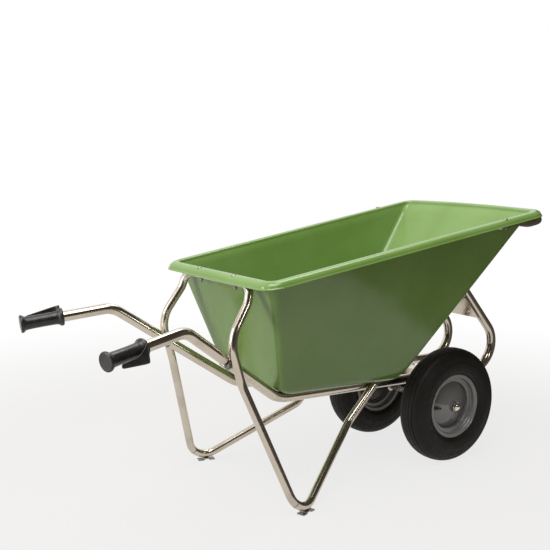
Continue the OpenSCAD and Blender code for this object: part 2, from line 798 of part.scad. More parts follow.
module grip(turned) {
    body_r = grip_d / 2;
    flange_r = grip_flange_d / 2;
    soft = 4;
    guard_t = 4;
    guard_in = body_r + guard_gap;
    guard_root = (grip_bore + grip_d) / 4;
    guard_tip = grip_len - guard_len;
    guard_top = 24;
    guard_foot = -37;
    guard_high = -7;
    guard_low = -21;
    color(black)
    axes(grip_out, cross(handle_dir, grip_out), handle_dir, handle_end) {
        difference() {
            rotate_extrude() polygon([
                [0, 0], [flange_r - soft, 0], [flange_r - 0.3 * soft, 0.3 * soft], [flange_r, soft],
                [flange_r, flange_len - soft], [flange_r - 0.5 * soft, flange_len],
                [body_r + 1, flange_len + 3], [body_r, flange_len + 8],
                [body_r - 1, grip_len / 2], [body_r, grip_len - collar_len - 8],
                [flange_r - 0.5 * soft, grip_len - collar_len], [flange_r, grip_len - collar_len + soft],
                [flange_r, grip_len - soft], [flange_r - soft, grip_len], [0, grip_len]
            ]);
            translate([0, 0, grip_end_t - seat_gap]) cylinder(d = grip_bore, h = grip_len);
        }
        rotate(turned ? -grip_roll : 0) mirror([0, turned ? 1 : 0, 0]) intersection() {
            rotate([0, -90, 0]) linear_extrude(200, center = true) polygon([
                [grip_len - 1, guard_top], [grip_len - 1, guard_foot],
                [guard_tip + 6, guard_low], [guard_tip + 1.5, guard_low + 1.5], [guard_tip, guard_low + 5],
                [guard_tip, guard_high - 4], [guard_tip + 3, guard_high - 0.5],
                [grip_len - 63, guard_high + 1], [grip_len - 53, guard_high + 3.5],
                [grip_len - 43, guard_high + 8.6], [grip_len - 33, guard_high + 15],
                [grip_len - 23, guard_high + 22.5], [grip_len - 13, guard_high + 28.5]
            ]);
            rotate([90, 0, 0]) linear_extrude(200, center = true) polygon([
                [guard_root, grip_len - 1], [flange_r - 1, grip_len - 1],
                [guard_in + 0.3 * guard_t, grip_len - 22], [guard_in + guard_t, grip_len - 42],
                [guard_in + guard_t, guard_tip], [guard_in, guard_tip], [guard_in, grip_len - 42],
                [guard_in - 0.8 * guard_t, grip_len - 22], [guard_root, grip_len - collar_len + 2]
            ]);
        }
    }
}

module left_grip() {
    grip(true);
}

module right_grip() {
    mirror([0, 1, 0]) grip(false);
}

// Wheels: profiles across the wheel, revolved about the axle
module wheel(side) {
    translate([0, side * track / 2, axle_z]) rotate([-90 * side, 0, 0]) children();
}

tyre_r = tyre_d / 2;
flange_r = flange_d / 2;
seat_r = seat_d / 2;
well_r = well_d / 2;
bead_h = flange_w / 2 - press_t;
function signed_power(v, e) = sign(v) * abs(v) ^ e;
function oval(r_in, r_out, half, e, a) = [
    (r_in + r_out) / 2 + (r_out - r_in) / 2 * signed_power(cos(a), e), half * signed_power(sin(a), e)
];
function crown(r_in, r_out, half, e, h) =
    oval(r_in, r_out, half, e, asin(signed_power(h / half, 1 / e))).x;
function across(v) = [for (p = v) [p.x, -p.y]];
tread_t = 9;
side_t = 6;
cavity_in = seat_r + 4;
tube_wall_t = 2.5;
tube_room = 0.3;

module tyre() {
    groove_w = 3;
    groove_deep = 2.5;
    grooves = [0, 13, 26];
    bead_in = bead_h - 13;
    half = tyre_w / 2;
    out_e = 0.78;
    in_e = 0.85;
    in_r = tyre_r - tread_t;
    in_half = half - side_t;
    tread = [for (g = grooves, k = [0 : 3]) let (h = g + (k < 2 ? -0.5 : 0.5) * groove_w)
        [crown(seat_r, tyre_r, half, out_e, h) - (k == 0 || k == 3 ? 0 : groove_deep), h]];
    side = [for (a = [44 : 8 : 132]) oval(seat_r, tyre_r, half, out_e, a)];
    bead = [
        [flange_r + tube_room, bead_h - tube_room], [seat_r + 2, bead_h - 1], [seat_r + 0.4, bead_h - 2.5],
        [seat_r + 0.4, bead_in]
    ];
    cavity = [for (a = [150 : -10 : 0]) oval(cavity_in, in_r, in_half, in_e, a)];
    upper = concat([for (p = tread) if (p.y > 0) p], side, bead, cavity);
    color(black) rotate_extrude() polygon(concat(upper, reversed(across(concat(
        [for (p = tread) if (p.y > 0) p], side, bead, [for (p = cavity) if (p.y > 0) p])))));
}

module inner_tube() {
    fill = (tyre_r - tread_t - cavity_in) / 2 - 0.5;
    color(black) rotate_extrude() translate([tyre_r - tread_t - fill - tube_room, 0]) difference() {
        circle(r = fill);
        circle(r = fill - tube_wall_t);
    }
}

module rim() {
    half = flange_w / 2;
    slope_h = bead_h - 15;
    well_h = 19;
    cone_foot = 4;
    cone_rise = 4;
    cone_top = 33;
    cone_in = hub_d / 2 + 5;
    skin = 0.9 * press_t;
    disc_r = well_r - skin;
    outer = [
        [flange_r, half + 0.6], [flange_r - 0.8, half - press_t], [seat_r + 1.5, bead_h - 0.6],
        [seat_r, bead_h - 2], [seat_r - 0.5, slope_h], [well_r, well_h]
    ];
    inner = [for (p = outer) [p.x - skin, p.y + (p.x > seat_r + 1 ? press_t : 0.5 * press_t)]];
    disc = [
        [disc_r, cone_foot], [disc_r - cone_rise, cone_foot + cone_rise], [cone_in, cone_top],
        [hub_d / 2 + seat_gap, cone_top], [hub_d / 2 + seat_gap, cone_top - press_t],
        [cone_in - 0.6, cone_top - press_t], [disc_r - cone_rise - 1, cone_foot + cone_rise - press_t],
        [disc_r - press_t, cone_foot - 1], [disc_r - press_t, cone_foot - 9], [disc_r, cone_foot - 9]
    ];
    color(wheel_grey)
    difference() {
        rotate_extrude() polygon(concat(
            outer, reversed(across(outer)), across(inner), reversed(disc), reversed(inner)
        ));
        valve_place() translate([0, 0, -8]) cylinder(d = valve_d + 2 * seat_gap, h = 16);
    }
}

module hub() {
    color(wheel_grey) translate([0, 0, -hub_len / 2])
        ring(hub_d, bush_d + 2 * seat_gap, hub_len);
}

bush_d = axle_d + 8;

module bushes() {
    bush_len = 22;
    color(black) for (s = [0, 1]) mirror([0, 0, s]) translate([0, 0, hub_len / 2 - bush_len])
    difference() {
        union() {
            cylinder(d = bush_d, h = bush_len);
            translate([0, 0, bush_len + seat_gap]) cylinder(d = hub_d - 2, h = flange_t - seat_gap);
            translate([0, 0, bush_len - 1]) cylinder(d = bush_d, h = 2);
        }
        translate([0, 0, -bore_over])
            cylinder(d = axle_d + 2 * run_gap, h = bush_len + flange_t + 2 * bore_over);
    }
}

valve_d = 10;
valve_h = 13;
valve_len = 32;
valve_tilt = 35;

module valve_place() {
    translate([-well_r, 0, valve_h]) rotate([0, 90 - valve_tilt, 0]) children();
}

module valve() {
    body = valve_len * 0.62;
    color(black) valve_place() {
        translate([0, 0, -3]) cylinder(d = valve_d, h = body + 3);
        translate([0, 0, body - 1]) cylinder(d = valve_d - 2.5, h = valve_len - body + 1);
    }
}

// The barrow stands on its centre: shift from the axle to the middle of its length
grip_back = -handle_end_x - grip_flange_d / 2 * sqrt(1 - handle_dir.x ^ 2);
nose_front = rim_front + front_bulge + rim_w + rim_lip;
frame_x = -(grip_back + nose_front) / 2;

module place() {
    translate([frame_x, 0, 0]) children();
}

place() tub();
place() left_main_tube();
place() right_main_tube();
place() leg_bow();
place() front_rim_bow();
place() bow_cross_plate();
place() rail_cross_bar();
place() axle();
place() left_axle_bracket();
place() right_axle_bracket();
place() axle_spacers();
place() axle_washers();
place() axle_caps();
place() left_grip();
place() right_grip();
place() left_foot_shoe();
place() right_foot_shoe();
place() left_leg_strap();
place() right_leg_strap();
place() leg_strap_bolts();
place() rear_rim_bolts();
place() rear_rim_washers();
place() rear_rim_nuts();
place() side_rim_bolts();
place() side_rim_nuts();
place() left_arm_pad();
place() right_arm_pad();
place() front_wall_bolts();
place() front_wall_washers();
place() front_wall_nuts();
place() wheel(1) tyre();  // left_tyre
place() wheel(1) inner_tube();  // left_inner_tube
place() wheel(1) rim();  // left_rim
place() wheel(1) hub();  // left_hub
place() wheel(1) bushes();  // left_bushes
place() wheel(1) valve();  // left_valve
place() wheel(-1) tyre();  // right_tyre
place() wheel(-1) inner_tube();  // right_inner_tube
place() wheel(-1) rim();  // right_rim
place() wheel(-1) hub();  // right_hub
place() wheel(-1) bushes();  // right_bushes
place() wheel(-1) valve();  // right_valve
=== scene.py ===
import json
import math

import bmesh
import bpy
import numpy as np
from mathutils import Matrix


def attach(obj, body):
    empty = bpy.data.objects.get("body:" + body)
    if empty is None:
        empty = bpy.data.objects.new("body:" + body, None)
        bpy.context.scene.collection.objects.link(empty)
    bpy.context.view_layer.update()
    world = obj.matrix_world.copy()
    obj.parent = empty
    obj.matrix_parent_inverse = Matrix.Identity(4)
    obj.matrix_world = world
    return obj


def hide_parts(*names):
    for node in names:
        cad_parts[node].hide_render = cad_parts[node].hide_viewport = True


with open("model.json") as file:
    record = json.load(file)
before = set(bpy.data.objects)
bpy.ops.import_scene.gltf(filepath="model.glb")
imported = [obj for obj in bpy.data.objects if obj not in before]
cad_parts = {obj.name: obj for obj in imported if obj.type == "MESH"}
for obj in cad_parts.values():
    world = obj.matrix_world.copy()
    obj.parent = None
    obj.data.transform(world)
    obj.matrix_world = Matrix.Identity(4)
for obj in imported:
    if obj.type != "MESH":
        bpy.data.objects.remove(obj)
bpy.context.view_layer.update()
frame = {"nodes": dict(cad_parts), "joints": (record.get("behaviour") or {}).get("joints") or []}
nodes = frame["nodes"]
axleX, axleZ = frame["joints"][0]["pos_m"][0], frame["joints"][0]["pos_m"][2]
print("frame loaded:", len(nodes), "nodes, axle at", round(axleX, 4), round(axleZ, 4))

# Distances of the object are in millimetres, measured from the axle line and up from the ground


def toRow(p):  # millimetres from the axle to metres in the row frame
    return np.asarray(p, float) * 1e-3 + np.array([axleX, 0.0, 0.0])


def unit(v):  # a vector, or each row of an array, scaled to length one
    v = np.asarray(v, float)
    return v / np.linalg.norm(v, axis=-1, keepdims=True)


def mix(a, b, t):  # the share t of the way from a to b
    return a + (b - a) * t


def flipped(p):  # the same points on the other side of the barrow
    return np.asarray(p, float) * np.array([1.0, -1.0, 1.0])


def fullTurn(count):  # angles spread evenly over one turn
    return np.linspace(0, 2 * np.pi, count, endpoint=False)


def squarish(x, power):  # a sine or cosine raised to a power, its sign kept, which squares off an oval
    return np.sign(x) * np.abs(x) ** power


def parabola(a, b, c, t):  # from a to c, drawn towards the corner b
    return (1 - t) ** 2 * a + 2 * t * (1 - t) * b + t ** 2 * c


def walked(line):  # the distance along a line of points, at each of them
    return np.concatenate([[0], np.cumsum(np.linalg.norm(np.diff(line, axis=0), axis=1))])


bothSides = (("left", np.asarray), ("right", flipped))  # shapes are drawn on the left and turned over


# Mesh helpers

def gridPiece(name, points, wrapAlong=False, poles=(False, False), lengths=None, sharp=40):
    # a grid of points (rings, around, xyz) joined into quads: each ring closes on itself, the rings
    # close into a loop when wrapAlong is set, and a pole point fills the first or last ring
    rings, around = points.shape[:2]
    index = np.arange(rings * around).reshape(rings, around)
    nextRing = np.roll(index, -1, 0) if wrapAlong else index[1:]
    thisRing = index if wrapAlong else index[:-1]
    quads = np.stack([thisRing, np.roll(thisRing, -1, 1), np.roll(nextRing, -1, 1), nextRing], -1)
    u = np.broadcast_to(np.arange(around) / around, thisRing.shape)
    if lengths is None:
        lengths = np.arange(rings + 1) / rings
    v0 = np.broadcast_to(np.asarray(lengths)[:len(thisRing), None], thisRing.shape)
    v1 = np.broadcast_to(np.append(lengths, lengths[-1])[1:len(thisRing) + 1, None], thisRing.shape)
    uv = np.stack([np.stack([u, v0], -1), np.stack([u + 1 / around, v0], -1),
                   np.stack([u + 1 / around, v1], -1), np.stack([u, v1], -1)], 2).reshape(-1, 2)
    verts = points.reshape(-1, 3)
    faces = quads.reshape(-1, 4).tolist()
    for wanted, ring in zip(poles, (index[0], index[-1])):
        if wanted:
            faces += np.stack([ring, np.roll(ring, -1), np.full(around, len(verts))], -1).tolist()
            verts = np.vstack([verts, verts[ring].mean(0)])
            uv = np.vstack([uv, np.zeros((3 * around, 2))])
    mesh = bpy.data.meshes.new(name)
    mesh.from_pydata(verts.tolist(), [], faces)
    layer = mesh.uv_layers.new(name="along")
    layer.data.foreach_set("uv", uv.astype(np.float32).ravel())
    work = bmesh.new()
    work.from_mesh(mesh)
    bmesh.ops.recalc_face_normals(work, faces=work.faces)
    work.to_mesh(mesh)
    work.free()
    mesh.shade_smooth()
    mesh.set_sharp_from_angle(angle=math.radians(sharp))
    piece = bpy.data.objects.new(name, mesh)
    bpy.context.scene.collection.objects.link(piece)
    return piece


def bentLine(corners, radii, step=2.5):
    # straight runs joined by arcs tangent to both: start + r (sin a along + (1 - cos a) inward), with a
    # point for every step degrees
    p = np.asarray(corners, float)
    runs = unit(p[1:] - p[:-1])
    points, ways = [p[:1]], [runs[:1]]
    for i in range(1, len(p) - 1):
        turn = math.acos(float(np.clip(runs[i - 1] @ runs[i], -1, 1)))
        inward = unit(runs[i] - (runs[i - 1] @ runs[i]) * runs[i - 1])
        start = p[i] - runs[i - 1] * radii[i] * math.tan(turn / 2)
        a = np.linspace(0, turn, max(4, int(math.degrees(turn) / step) + 2))[:, None]
        points.append(start + radii[i] * (np.sin(a) * runs[i - 1] + (1 - np.cos(a)) * inward))
        ways.append(np.cos(a) * runs[i - 1] + np.sin(a) * inward)
    return np.concatenate(points + [p[-1:]]), np.concatenate(ways + [runs[-1:]])


def softLine(control, steps):
    # uniform cubic spline that eases round a row of control points, its ends held
    c = np.asarray(control, float)
    c = np.concatenate([c[:1], c[:1], c, c[-1:], c[-1:]])
    t = np.arange(steps)[:, None, None] / steps
    b = [(1 - t) ** 3 / 6, (3 * t ** 3 - 6 * t ** 2 + 4) / 6,
         (-3 * t ** 3 + 3 * t ** 2 + 3 * t + 1) / 6, t ** 3 / 6]
    spans = sum(b[k] * c[None, k:len(c) - 3 + k] for k in range(4))
    return np.concatenate([spans.transpose(1, 0, 2).reshape(-1, c.shape[1]), c[-1:]])


def roundLoop(corners, r, most=0.45, steps=5):
    # a closed outline with a parabola at each corner, as long as an arc of radius r would be there, but
    # taking up no more than a share of the shorter side
    p = np.asarray(corners, float)
    before, after = np.roll(p, 1, 0), np.roll(p, -1, 0)
    u, v = unit(p - before), unit(after - p)
    turn = np.arccos(np.clip((u * v).sum(-1), -1, 1))
    short = most * np.minimum(np.linalg.norm(p - before, axis=1), np.linalg.norm(after - p, axis=1))
    back = np.minimum(r * np.tan(turn / 2), short)[:, None]
    t = np.linspace(0, 1, steps)[None, :, None]
    return parabola((p - u * back)[:, None], p[:, None], (p + v * back)[:, None], t).reshape(-1, 2)


def acrossLine(ways, lean):
    # two directions square to the path at every point, the first as near to lean as it can be
    lean = np.asarray(lean, float)
    side = unit(lean - (ways @ lean)[:, None] * ways)
    return side, np.cross(ways, side)


def ringsRound(line, ways, sizes, lean, count):
    # a circle round every point of a path: point + size (cos a side + sin a other)
    side, other = acrossLine(ways, lean)
    a = fullTurn(count)[None, :, None]
    return line[:, None] + sizes[:, None, None] * (np.cos(a) * side[:, None] + np.sin(a) * other[:, None])


def tubePiece(name, corners, radii, d, lean, cut=None, wall=2.0, bore=30.0, edge=0.4, count=48):
    # a round section carried along a bent line; both ends turn in and show the bore for a short way,
    # and the last end is sheared along the tube onto the plane (point, normal) given by cut
    line, ways = bentLine(corners, radii)
    r, first, last = d / 2, ways[:1], ways[-1:]
    head, tail = line[:1], line[-1:]
    centre = np.concatenate([head + first * bore, head, head, head + first * edge, line[1:-1],
                             tail - last * edge, tail, tail, tail - last * bore])
    way = np.concatenate([first] * 4 + [ways[1:-1]] + [last] * 4)
    endSizes = [r - wall, r - wall, r - edge, r]
    size = np.concatenate([endSizes, np.full(len(line) - 2, r), endSizes[::-1]])
    points = ringsRound(centre, way, size, lean, count)
    if cut is not None:
        at, normal = cut
        slide = ((at - points[-4:]) @ normal) / float(way[-1] @ normal)
        keep = np.array([edge, 0.0, 0.0, bore])[:, None]
        points[-4:] += (slide - keep)[..., None] * way[-1]
    return gridPiece(name, toRow(points), poles=(True, True), lengths=walked(centre) * 1e-3)


def revolved(name, profile, place, count, sharp, closed=True):
    # a profile (radius, offset along the axis) turned round an axis; place holds the axis frame
    origin, axis, arm, hand = place
    a = fullTurn(count)[None, :, None]
    r, h = profile[:, 0][:, None, None], profile[:, 1][:, None, None]
    points = origin + h * axis + r * (np.cos(a) * arm + np.sin(a) * hand)
    return gridPiece(name, toRow(points), wrapAlong=closed, poles=(not closed, not closed), sharp=sharp)


# Shader helpers

def addNode(tree, kind, **values):
    node = tree.nodes.new(kind)
    for key, value in values.items():
        setattr(node, key, value)
    return node


def feed(tree, socket, value):  # a number or a colour is set, the output of a node is linked
    if isinstance(value, (int, float)):
        socket.default_value = value
    elif isinstance(value, tuple):
        socket.default_value = (*value, 1.0)
    else:
        tree.links.new(value, socket)


def mathOut(tree, operation, a, b):
    node = addNode(tree, "ShaderNodeMath", operation=operation)
    feed(tree, node.inputs[0], a)
    feed(tree, node.inputs[1], b)
    return node.outputs[0]


def noiseOut(tree, vector, scale, detail, rough):
    node = addNode(tree, "ShaderNodeTexNoise")
    for label, value in (("Vector", vector), ("Scale", scale), ("Detail", detail), ("Roughness", rough)):
        feed(tree, node.inputs[label], value)
    return node.outputs["Fac"]


def rangeOut(tree, value, low, high, outLow=0.0, outHigh=1.0):  # a smooth step between two levels
    node = addNode(tree, "ShaderNodeMapRange", interpolation_type="SMOOTHSTEP")
    tree.links.new(value, node.inputs["Value"])
    for label, x in (("From Min", low), ("From Max", high), ("To Min", outLow), ("To Max", outHigh)):
        feed(tree, node.inputs[label], x)
    return node.outputs["Result"]


# Shader groups shared by the finishes

def startGroup(name, result, **inputs):  # takes a vector and the named inputs, and gives one number
    group = bpy.data.node_groups.new(name, "ShaderNodeTree")
    group.interface.new_socket("Vector", in_out="INPUT", socket_type="NodeSocketVector")
    for label, value in inputs.items():
        kind = "NodeSocketVector" if isinstance(value, tuple) else "NodeSocketFloat"
        group.interface.new_socket(label, in_out="INPUT", socket_type=kind).default_value = value
    group.interface.new_socket(result, in_out="OUTPUT", socket_type="NodeSocketFloat")
    return group, group.nodes.new("NodeGroupInput").outputs, group.nodes.new("NodeGroupOutput").inputs


def makePatches():  # broad cloudy mask, from 0 to 1
    group, enter, leave = startGroup("cloudyPatches", "Mask", Scale=4.0, Low=0.35, High=0.65)
    noise = noiseOut(group, enter["Vector"], enter["Scale"], detail=4.0, rough=0.55)
    group.links.new(rangeOut(group, noise, enter["Low"], enter["High"]), leave["Mask"])
    return group


def makeGrain():  # fine pebbled height, two sizes of noise added
    group, enter, leave = startGroup("fineGrain", "Height", Scale=400.0)
    fine = noiseOut(group, enter["Vector"], enter["Scale"], detail=2.0, rough=0.5)
    coarseScale = mathOut(group, "MULTIPLY", enter["Scale"], 0.31)
    coarse = noiseOut(group, enter["Vector"], coarseScale, detail=2.0, rough=0.5)
    group.links.new(mathOut(group, "ADD", fine, coarse), leave["Height"])
    return group


def makeScuffs():  # thin streaks: noise stretched along one direction, its peaks kept
    group, enter, leave = startGroup("thinScuffs", "Mask", Stretch=(60.0, 900.0, 60.0), Low=0.62, High=0.72)
    scale = addNode(group, "ShaderNodeVectorMath", operation="MULTIPLY")
    group.links.new(enter["Vector"], scale.inputs[0])
    group.links.new(enter["Stretch"], scale.inputs[1])
    noise = noiseOut(group, scale.outputs[0], 1.0, detail=3.0, rough=0.6)
    group.links.new(rangeOut(group, noise, enter["Low"], enter["High"]), leave["Mask"])
    return group


def makeDust():  # dust that thins out with height above the ground, broken up by noise
    group, enter, leave = startGroup("groundDust", "Mask", Top=0.3)
    split = addNode(group, "ShaderNodeSeparateXYZ")
    group.links.new(enter["Vector"], split.inputs[0])
    fade = rangeOut(group, split.outputs["Z"], enter["Top"], 0.0)
    noise = noiseOut(group, enter["Vector"], 22.0, detail=5.0, rough=0.62)
    broken = rangeOut(group, noise, low=0.4, high=0.7)
    group.links.new(mathOut(group, "MULTIPLY", fade, broken), leave["Mask"])
    return group


patches, grain, scuffs, dust = makePatches(), makeGrain(), makeScuffs(), makeDust()


class Finish:
    # one material with its Principled shader, object coordinates and small building steps
    def __init__(self, name, color, rough, metallic=0.0, **sockets):
        self.material = bpy.data.materials.new(name)
        self.material.use_nodes = True
        self.tree = self.material.node_tree
        self.shader = self.tree.nodes["Principled BSDF"]
        self.shader.inputs["Base Color"].default_value = (*color, 1.0)
        self.shader.inputs["Roughness"].default_value = rough
        self.shader.inputs["Metallic"].default_value = metallic
        for label, value in sockets.items():
            self.shader.inputs[label.replace("_", " ")].default_value = value
        self.coords = addNode(self.tree, "ShaderNodeTexCoord")
        self.material.diffuse_color = (*color, 1.0)

    def group(self, tree, vector="Object", **values):
        node = addNode(self.tree, "ShaderNodeGroup", node_tree=tree)
        self.tree.links.new(self.coords.outputs[vector], node.inputs["Vector"])
        for label, value in values.items():
            node.inputs[label].default_value = value
        return node.outputs[0]

    def blend(self, mask, a, b, amount=1.0):  # colour a where the mask is 0, b where it is 1
        if amount != 1.0:
            mask = rangeOut(self.tree, mask, 0.0, 1.0, 0.0, amount)
        node = addNode(self.tree, "ShaderNodeMix", data_type="RGBA")
        for socket, value in (("Factor", mask), (6, a), (7, b)):  # 6 and 7 take the colours
            feed(self.tree, node.inputs[socket], value)
        return node.outputs[2]  # the mixed colour

    def color(self, out):
        self.tree.links.new(out, self.shader.inputs["Base Color"])

    def rough(self, mask, low, high):
        out = rangeOut(self.tree, mask, 0.0, 1.0, low, high)
        self.tree.links.new(out, self.shader.inputs["Roughness"])

    def bump(self, height, strength, distance):
        node = addNode(self.tree, "ShaderNodeBump")
        node.inputs["Strength"].default_value = strength
        node.inputs["Distance"].default_value = distance
        self.tree.links.new(height, node.inputs["Height"])
        self.tree.links.new(node.outputs["Normal"], self.shader.inputs["Normal"])


def greenPlastic():
    look = {"color": (0.163, 0.288, 0.062), "pale": (0.195, 0.325, 0.085), "scuff": (0.26, 0.38, 0.15)}
    f = Finish("tubPlastic", look["color"], rough=0.2, Specular_IOR_Level=0.55)
    cloud = f.blend(f.group(patches, Scale=3.5), look["color"], look["pale"])
    lines = f.group(scuffs, Stretch=(14.0, 420.0, 90.0), Low=0.66, High=0.8)
    f.color(f.blend(lines, cloud, look["scuff"], amount=0.35))
    f.rough(f.group(patches, Scale=11.0), low=0.12, high=0.18)
    f.bump(f.group(grain, Scale=900.0), strength=0.06, distance=0.0006)
    return f.material


def tubeSteel():
    # the warm beige of this colour is partly the steel's own tone and partly a painted reflection of a beige
    # floor
    look = {"color": (0.66, 0.59, 0.49), "stain": (0.5, 0.43, 0.335)}
    f = Finish("platedTube", look["color"], rough=0.14, metallic=1.0)
    cloud = f.group(patches, Scale=9.0, Low=0.4, High=0.7)
    f.color(f.blend(cloud, look["color"], look["stain"], amount=0.6))
    drawn = f.group(scuffs, vector="UV", Stretch=(240.0, 5.0, 1.0), Low=0.4, High=0.75)
    f.rough(drawn, low=0.14, high=0.2)
    return f.material


def tyreRubber():
    look = {"color": (0.009, 0.007, 0.005), "grey": (0.013, 0.0104, 0.0076), "dust": (0.055, 0.045, 0.033)}
    f = Finish("tyreRubber", look["color"], rough=0.6, Specular_IOR_Level=0.28)
    base = f.blend(f.group(patches, Scale=45.0, Low=0.2, High=0.8), look["color"], look["grey"])
    f.color(f.blend(f.group(dust, Top=0.12), base, look["dust"], amount=0.3))
    f.rough(f.group(patches, Scale=60.0), low=0.5, high=0.6)
    f.bump(f.group(grain, Scale=1000.0), strength=0.16, distance=0.0006)
    return f.material


def wheelPaint():
    look = {"color": (0.225, 0.22, 0.215), "light": (0.26, 0.254, 0.247), "dust": (0.28, 0.25, 0.215)}
    f = Finish("wheelPaint", look["color"], rough=0.25, metallic=0.25)
    base = f.blend(f.group(patches, Scale=18.0), look["color"], look["light"], amount=0.5)
    f.color(f.blend(f.group(dust, Top=0.16), base, look["dust"], amount=0.15))
    f.rough(f.group(patches, Scale=25.0), low=0.13, high=0.18)
    f.bump(f.group(grain, Scale=1400.0), strength=0.02, distance=0.0003)
    return f.material


cloudySet = {
    "zinc": {"name": "zincPlate", "start": 0.3, "metallic": 1.0, "cloud": {"Scale": 60.0}, "amount": 0.7,
        "color": (0.66, 0.63, 0.57), "second": (0.42, 0.4, 0.36), "gloss": 140.0, "low": 0.24, "high": 0.42,
        "grain": 1500.0, "strength": 0.05, "distance": 0.0003},
    "bolt": {"name": "boltZinc", "start": 0.45, "metallic": 1.0, "cloud": {"Scale": 160.0}, "amount": 0.8,
        "color": (0.36, 0.335, 0.295), "second": (0.2, 0.185, 0.16), "gloss": 220.0, "low": 0.38,
        "high": 0.55},
    "strap": {"name": "darkStrap", "start": 0.24, "metallic": 1.0, "amount": 0.55,
        "cloud": {"Scale": 120.0, "Low": 0.45, "High": 0.6}, "color": (0.12, 0.112, 0.1),
        "second": (0.5, 0.465, 0.41), "gloss": 80.0, "low": 0.16, "high": 0.34, "grain": 700.0,
        "strength": 0.1, "distance": 0.0005},
    "cap": {"name": "capChrome", "start": 0.06, "metallic": 1.0, "cloud": {"Scale": 90.0}, "amount": 0.6,
        "color": (0.86, 0.83, 0.78), "second": (0.72, 0.64, 0.54), "gloss": 120.0, "low": 0.04,
        "high": 0.1},
    "grip": {"name": "gripRubber", "start": 0.38, "cloud": {"Scale": 30.0},
        "color": (0.014, 0.0125, 0.0115), "second": (0.027, 0.024, 0.022), "gloss": 70.0, "low": 0.24,
        "high": 0.38, "grain": 1300.0, "strength": 0.12, "distance": 0.0005},
    "inner": {"name": "innerRubber", "start": 0.55, "cloud": {"Scale": 50.0},
        "color": (0.016, 0.0155, 0.015), "second": (0.028, 0.027, 0.026), "gloss": 60.0, "low": 0.48,
        "high": 0.62},
    "bush": {"name": "bushPlastic", "start": 0.42, "cloud": {"Scale": 110.0}, "color": (0.03, 0.03, 0.032),
        "second": (0.055, 0.054, 0.054), "gloss": 90.0, "low": 0.36, "high": 0.5}}


def cloudy(which):
    # two shades that drift into each other in clouds, a gloss that drifts too, and fine grain on some
    s = cloudySet[which]
    f = Finish(s["name"], s["color"], s["start"], s.get("metallic", 0.0))
    f.color(f.blend(f.group(patches, **s["cloud"]), s["color"], s["second"], s.get("amount", 1.0)))
    f.rough(f.group(patches, Scale=s["gloss"]), s["low"], s["high"])
    if "grain" in s:
        f.bump(f.group(grain, Scale=s["grain"]), s["strength"], s["distance"])
    return f.material


finish = {"tub": greenPlastic(), "tube": tubeSteel(), "tyre": tyreRubber(), "wheel": wheelPaint()}
finish.update({which: cloudy(which) for which in cloudySet})
print("finishes made:", ", ".join(sorted(finish)))


def dress(piece, finishName, slotName, body, *stands):  # finish, body and the nodes that it stands for
    piece.data.materials.clear()
    piece.data.materials.append(finish[finishName])
    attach(piece, body)
    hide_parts(*stands)


# Tub: one moulded shell

tubSet = {"rimRear": 815.0, "rimFront": 278.0, "bulge": 22.0, "rimRearW": 552.0, "rimFrontW": 624.0,
          "rimRearH": 723.0, "rimFrontH": 879.0, "floorRear": 692.0, "floorFront": 219.0,
          "floorRearW": 338.0, "floorFrontW": 364.0, "round": 40.0, "rearRound": 76.0, "roundLevel": 0.085,
          "cornerTop": 24.0, "cornerFloor": 20.0, "cornerLeast": 4.0, "wall": 3.0,
          "railZ": 288.0, "railFall": 0.038, "floorGap": 16.962,
          "levels": (0.2, 0.4, 0.6, 0.8, 0.92, 0.97), "floorShares": (0.3, 0.65),
          "frontSteps": 33, "arcSteps": 13, "sideSteps": 24, "rearSteps": 16, "roundSteps": 11,
          "rollSteps": 4,
          "roll": ((0.2, -9), (0.5, -5.5), (1.6, -1.6), (5.5, 0.6), (11, 1.3), (18, 1.2), (24, 0.1),
                   (29, -2.3), (33, -5.6), (35.6, -9.6), (36.9, -13.4), (38.2, -16.0), (40.4, -17.0),
                   (40.8, -19.2), (39.2, -20.2), (35.6, -20.0), (34.0, -16.4), (32.4, -11.0), (29.4, -7.2),
                   (25, -4.4), (12, -2.5), (5.8, -3.0), (3.6, -5.6), (3.2, -9))}
rimLong = tubSet["rimFront"] + tubSet["rimRear"]
rimSlope = (tubSet["rimFrontH"] - tubSet["rimRearH"]) / rimLong


def rimHeight(x):  # straight line from the rear rim's height to the front rim's
    return tubSet["rimRearH"] + rimSlope * (x + tubSet["rimRear"])


def railHeight(x):  # middle of the rails: height at the axle less the fall towards the front
    return tubSet["railZ"] - tubSet["railFall"] * x


def floorHeight(x):  # underside of the tub, a little above the rails
    return railHeight(x) + tubSet["floorGap"]


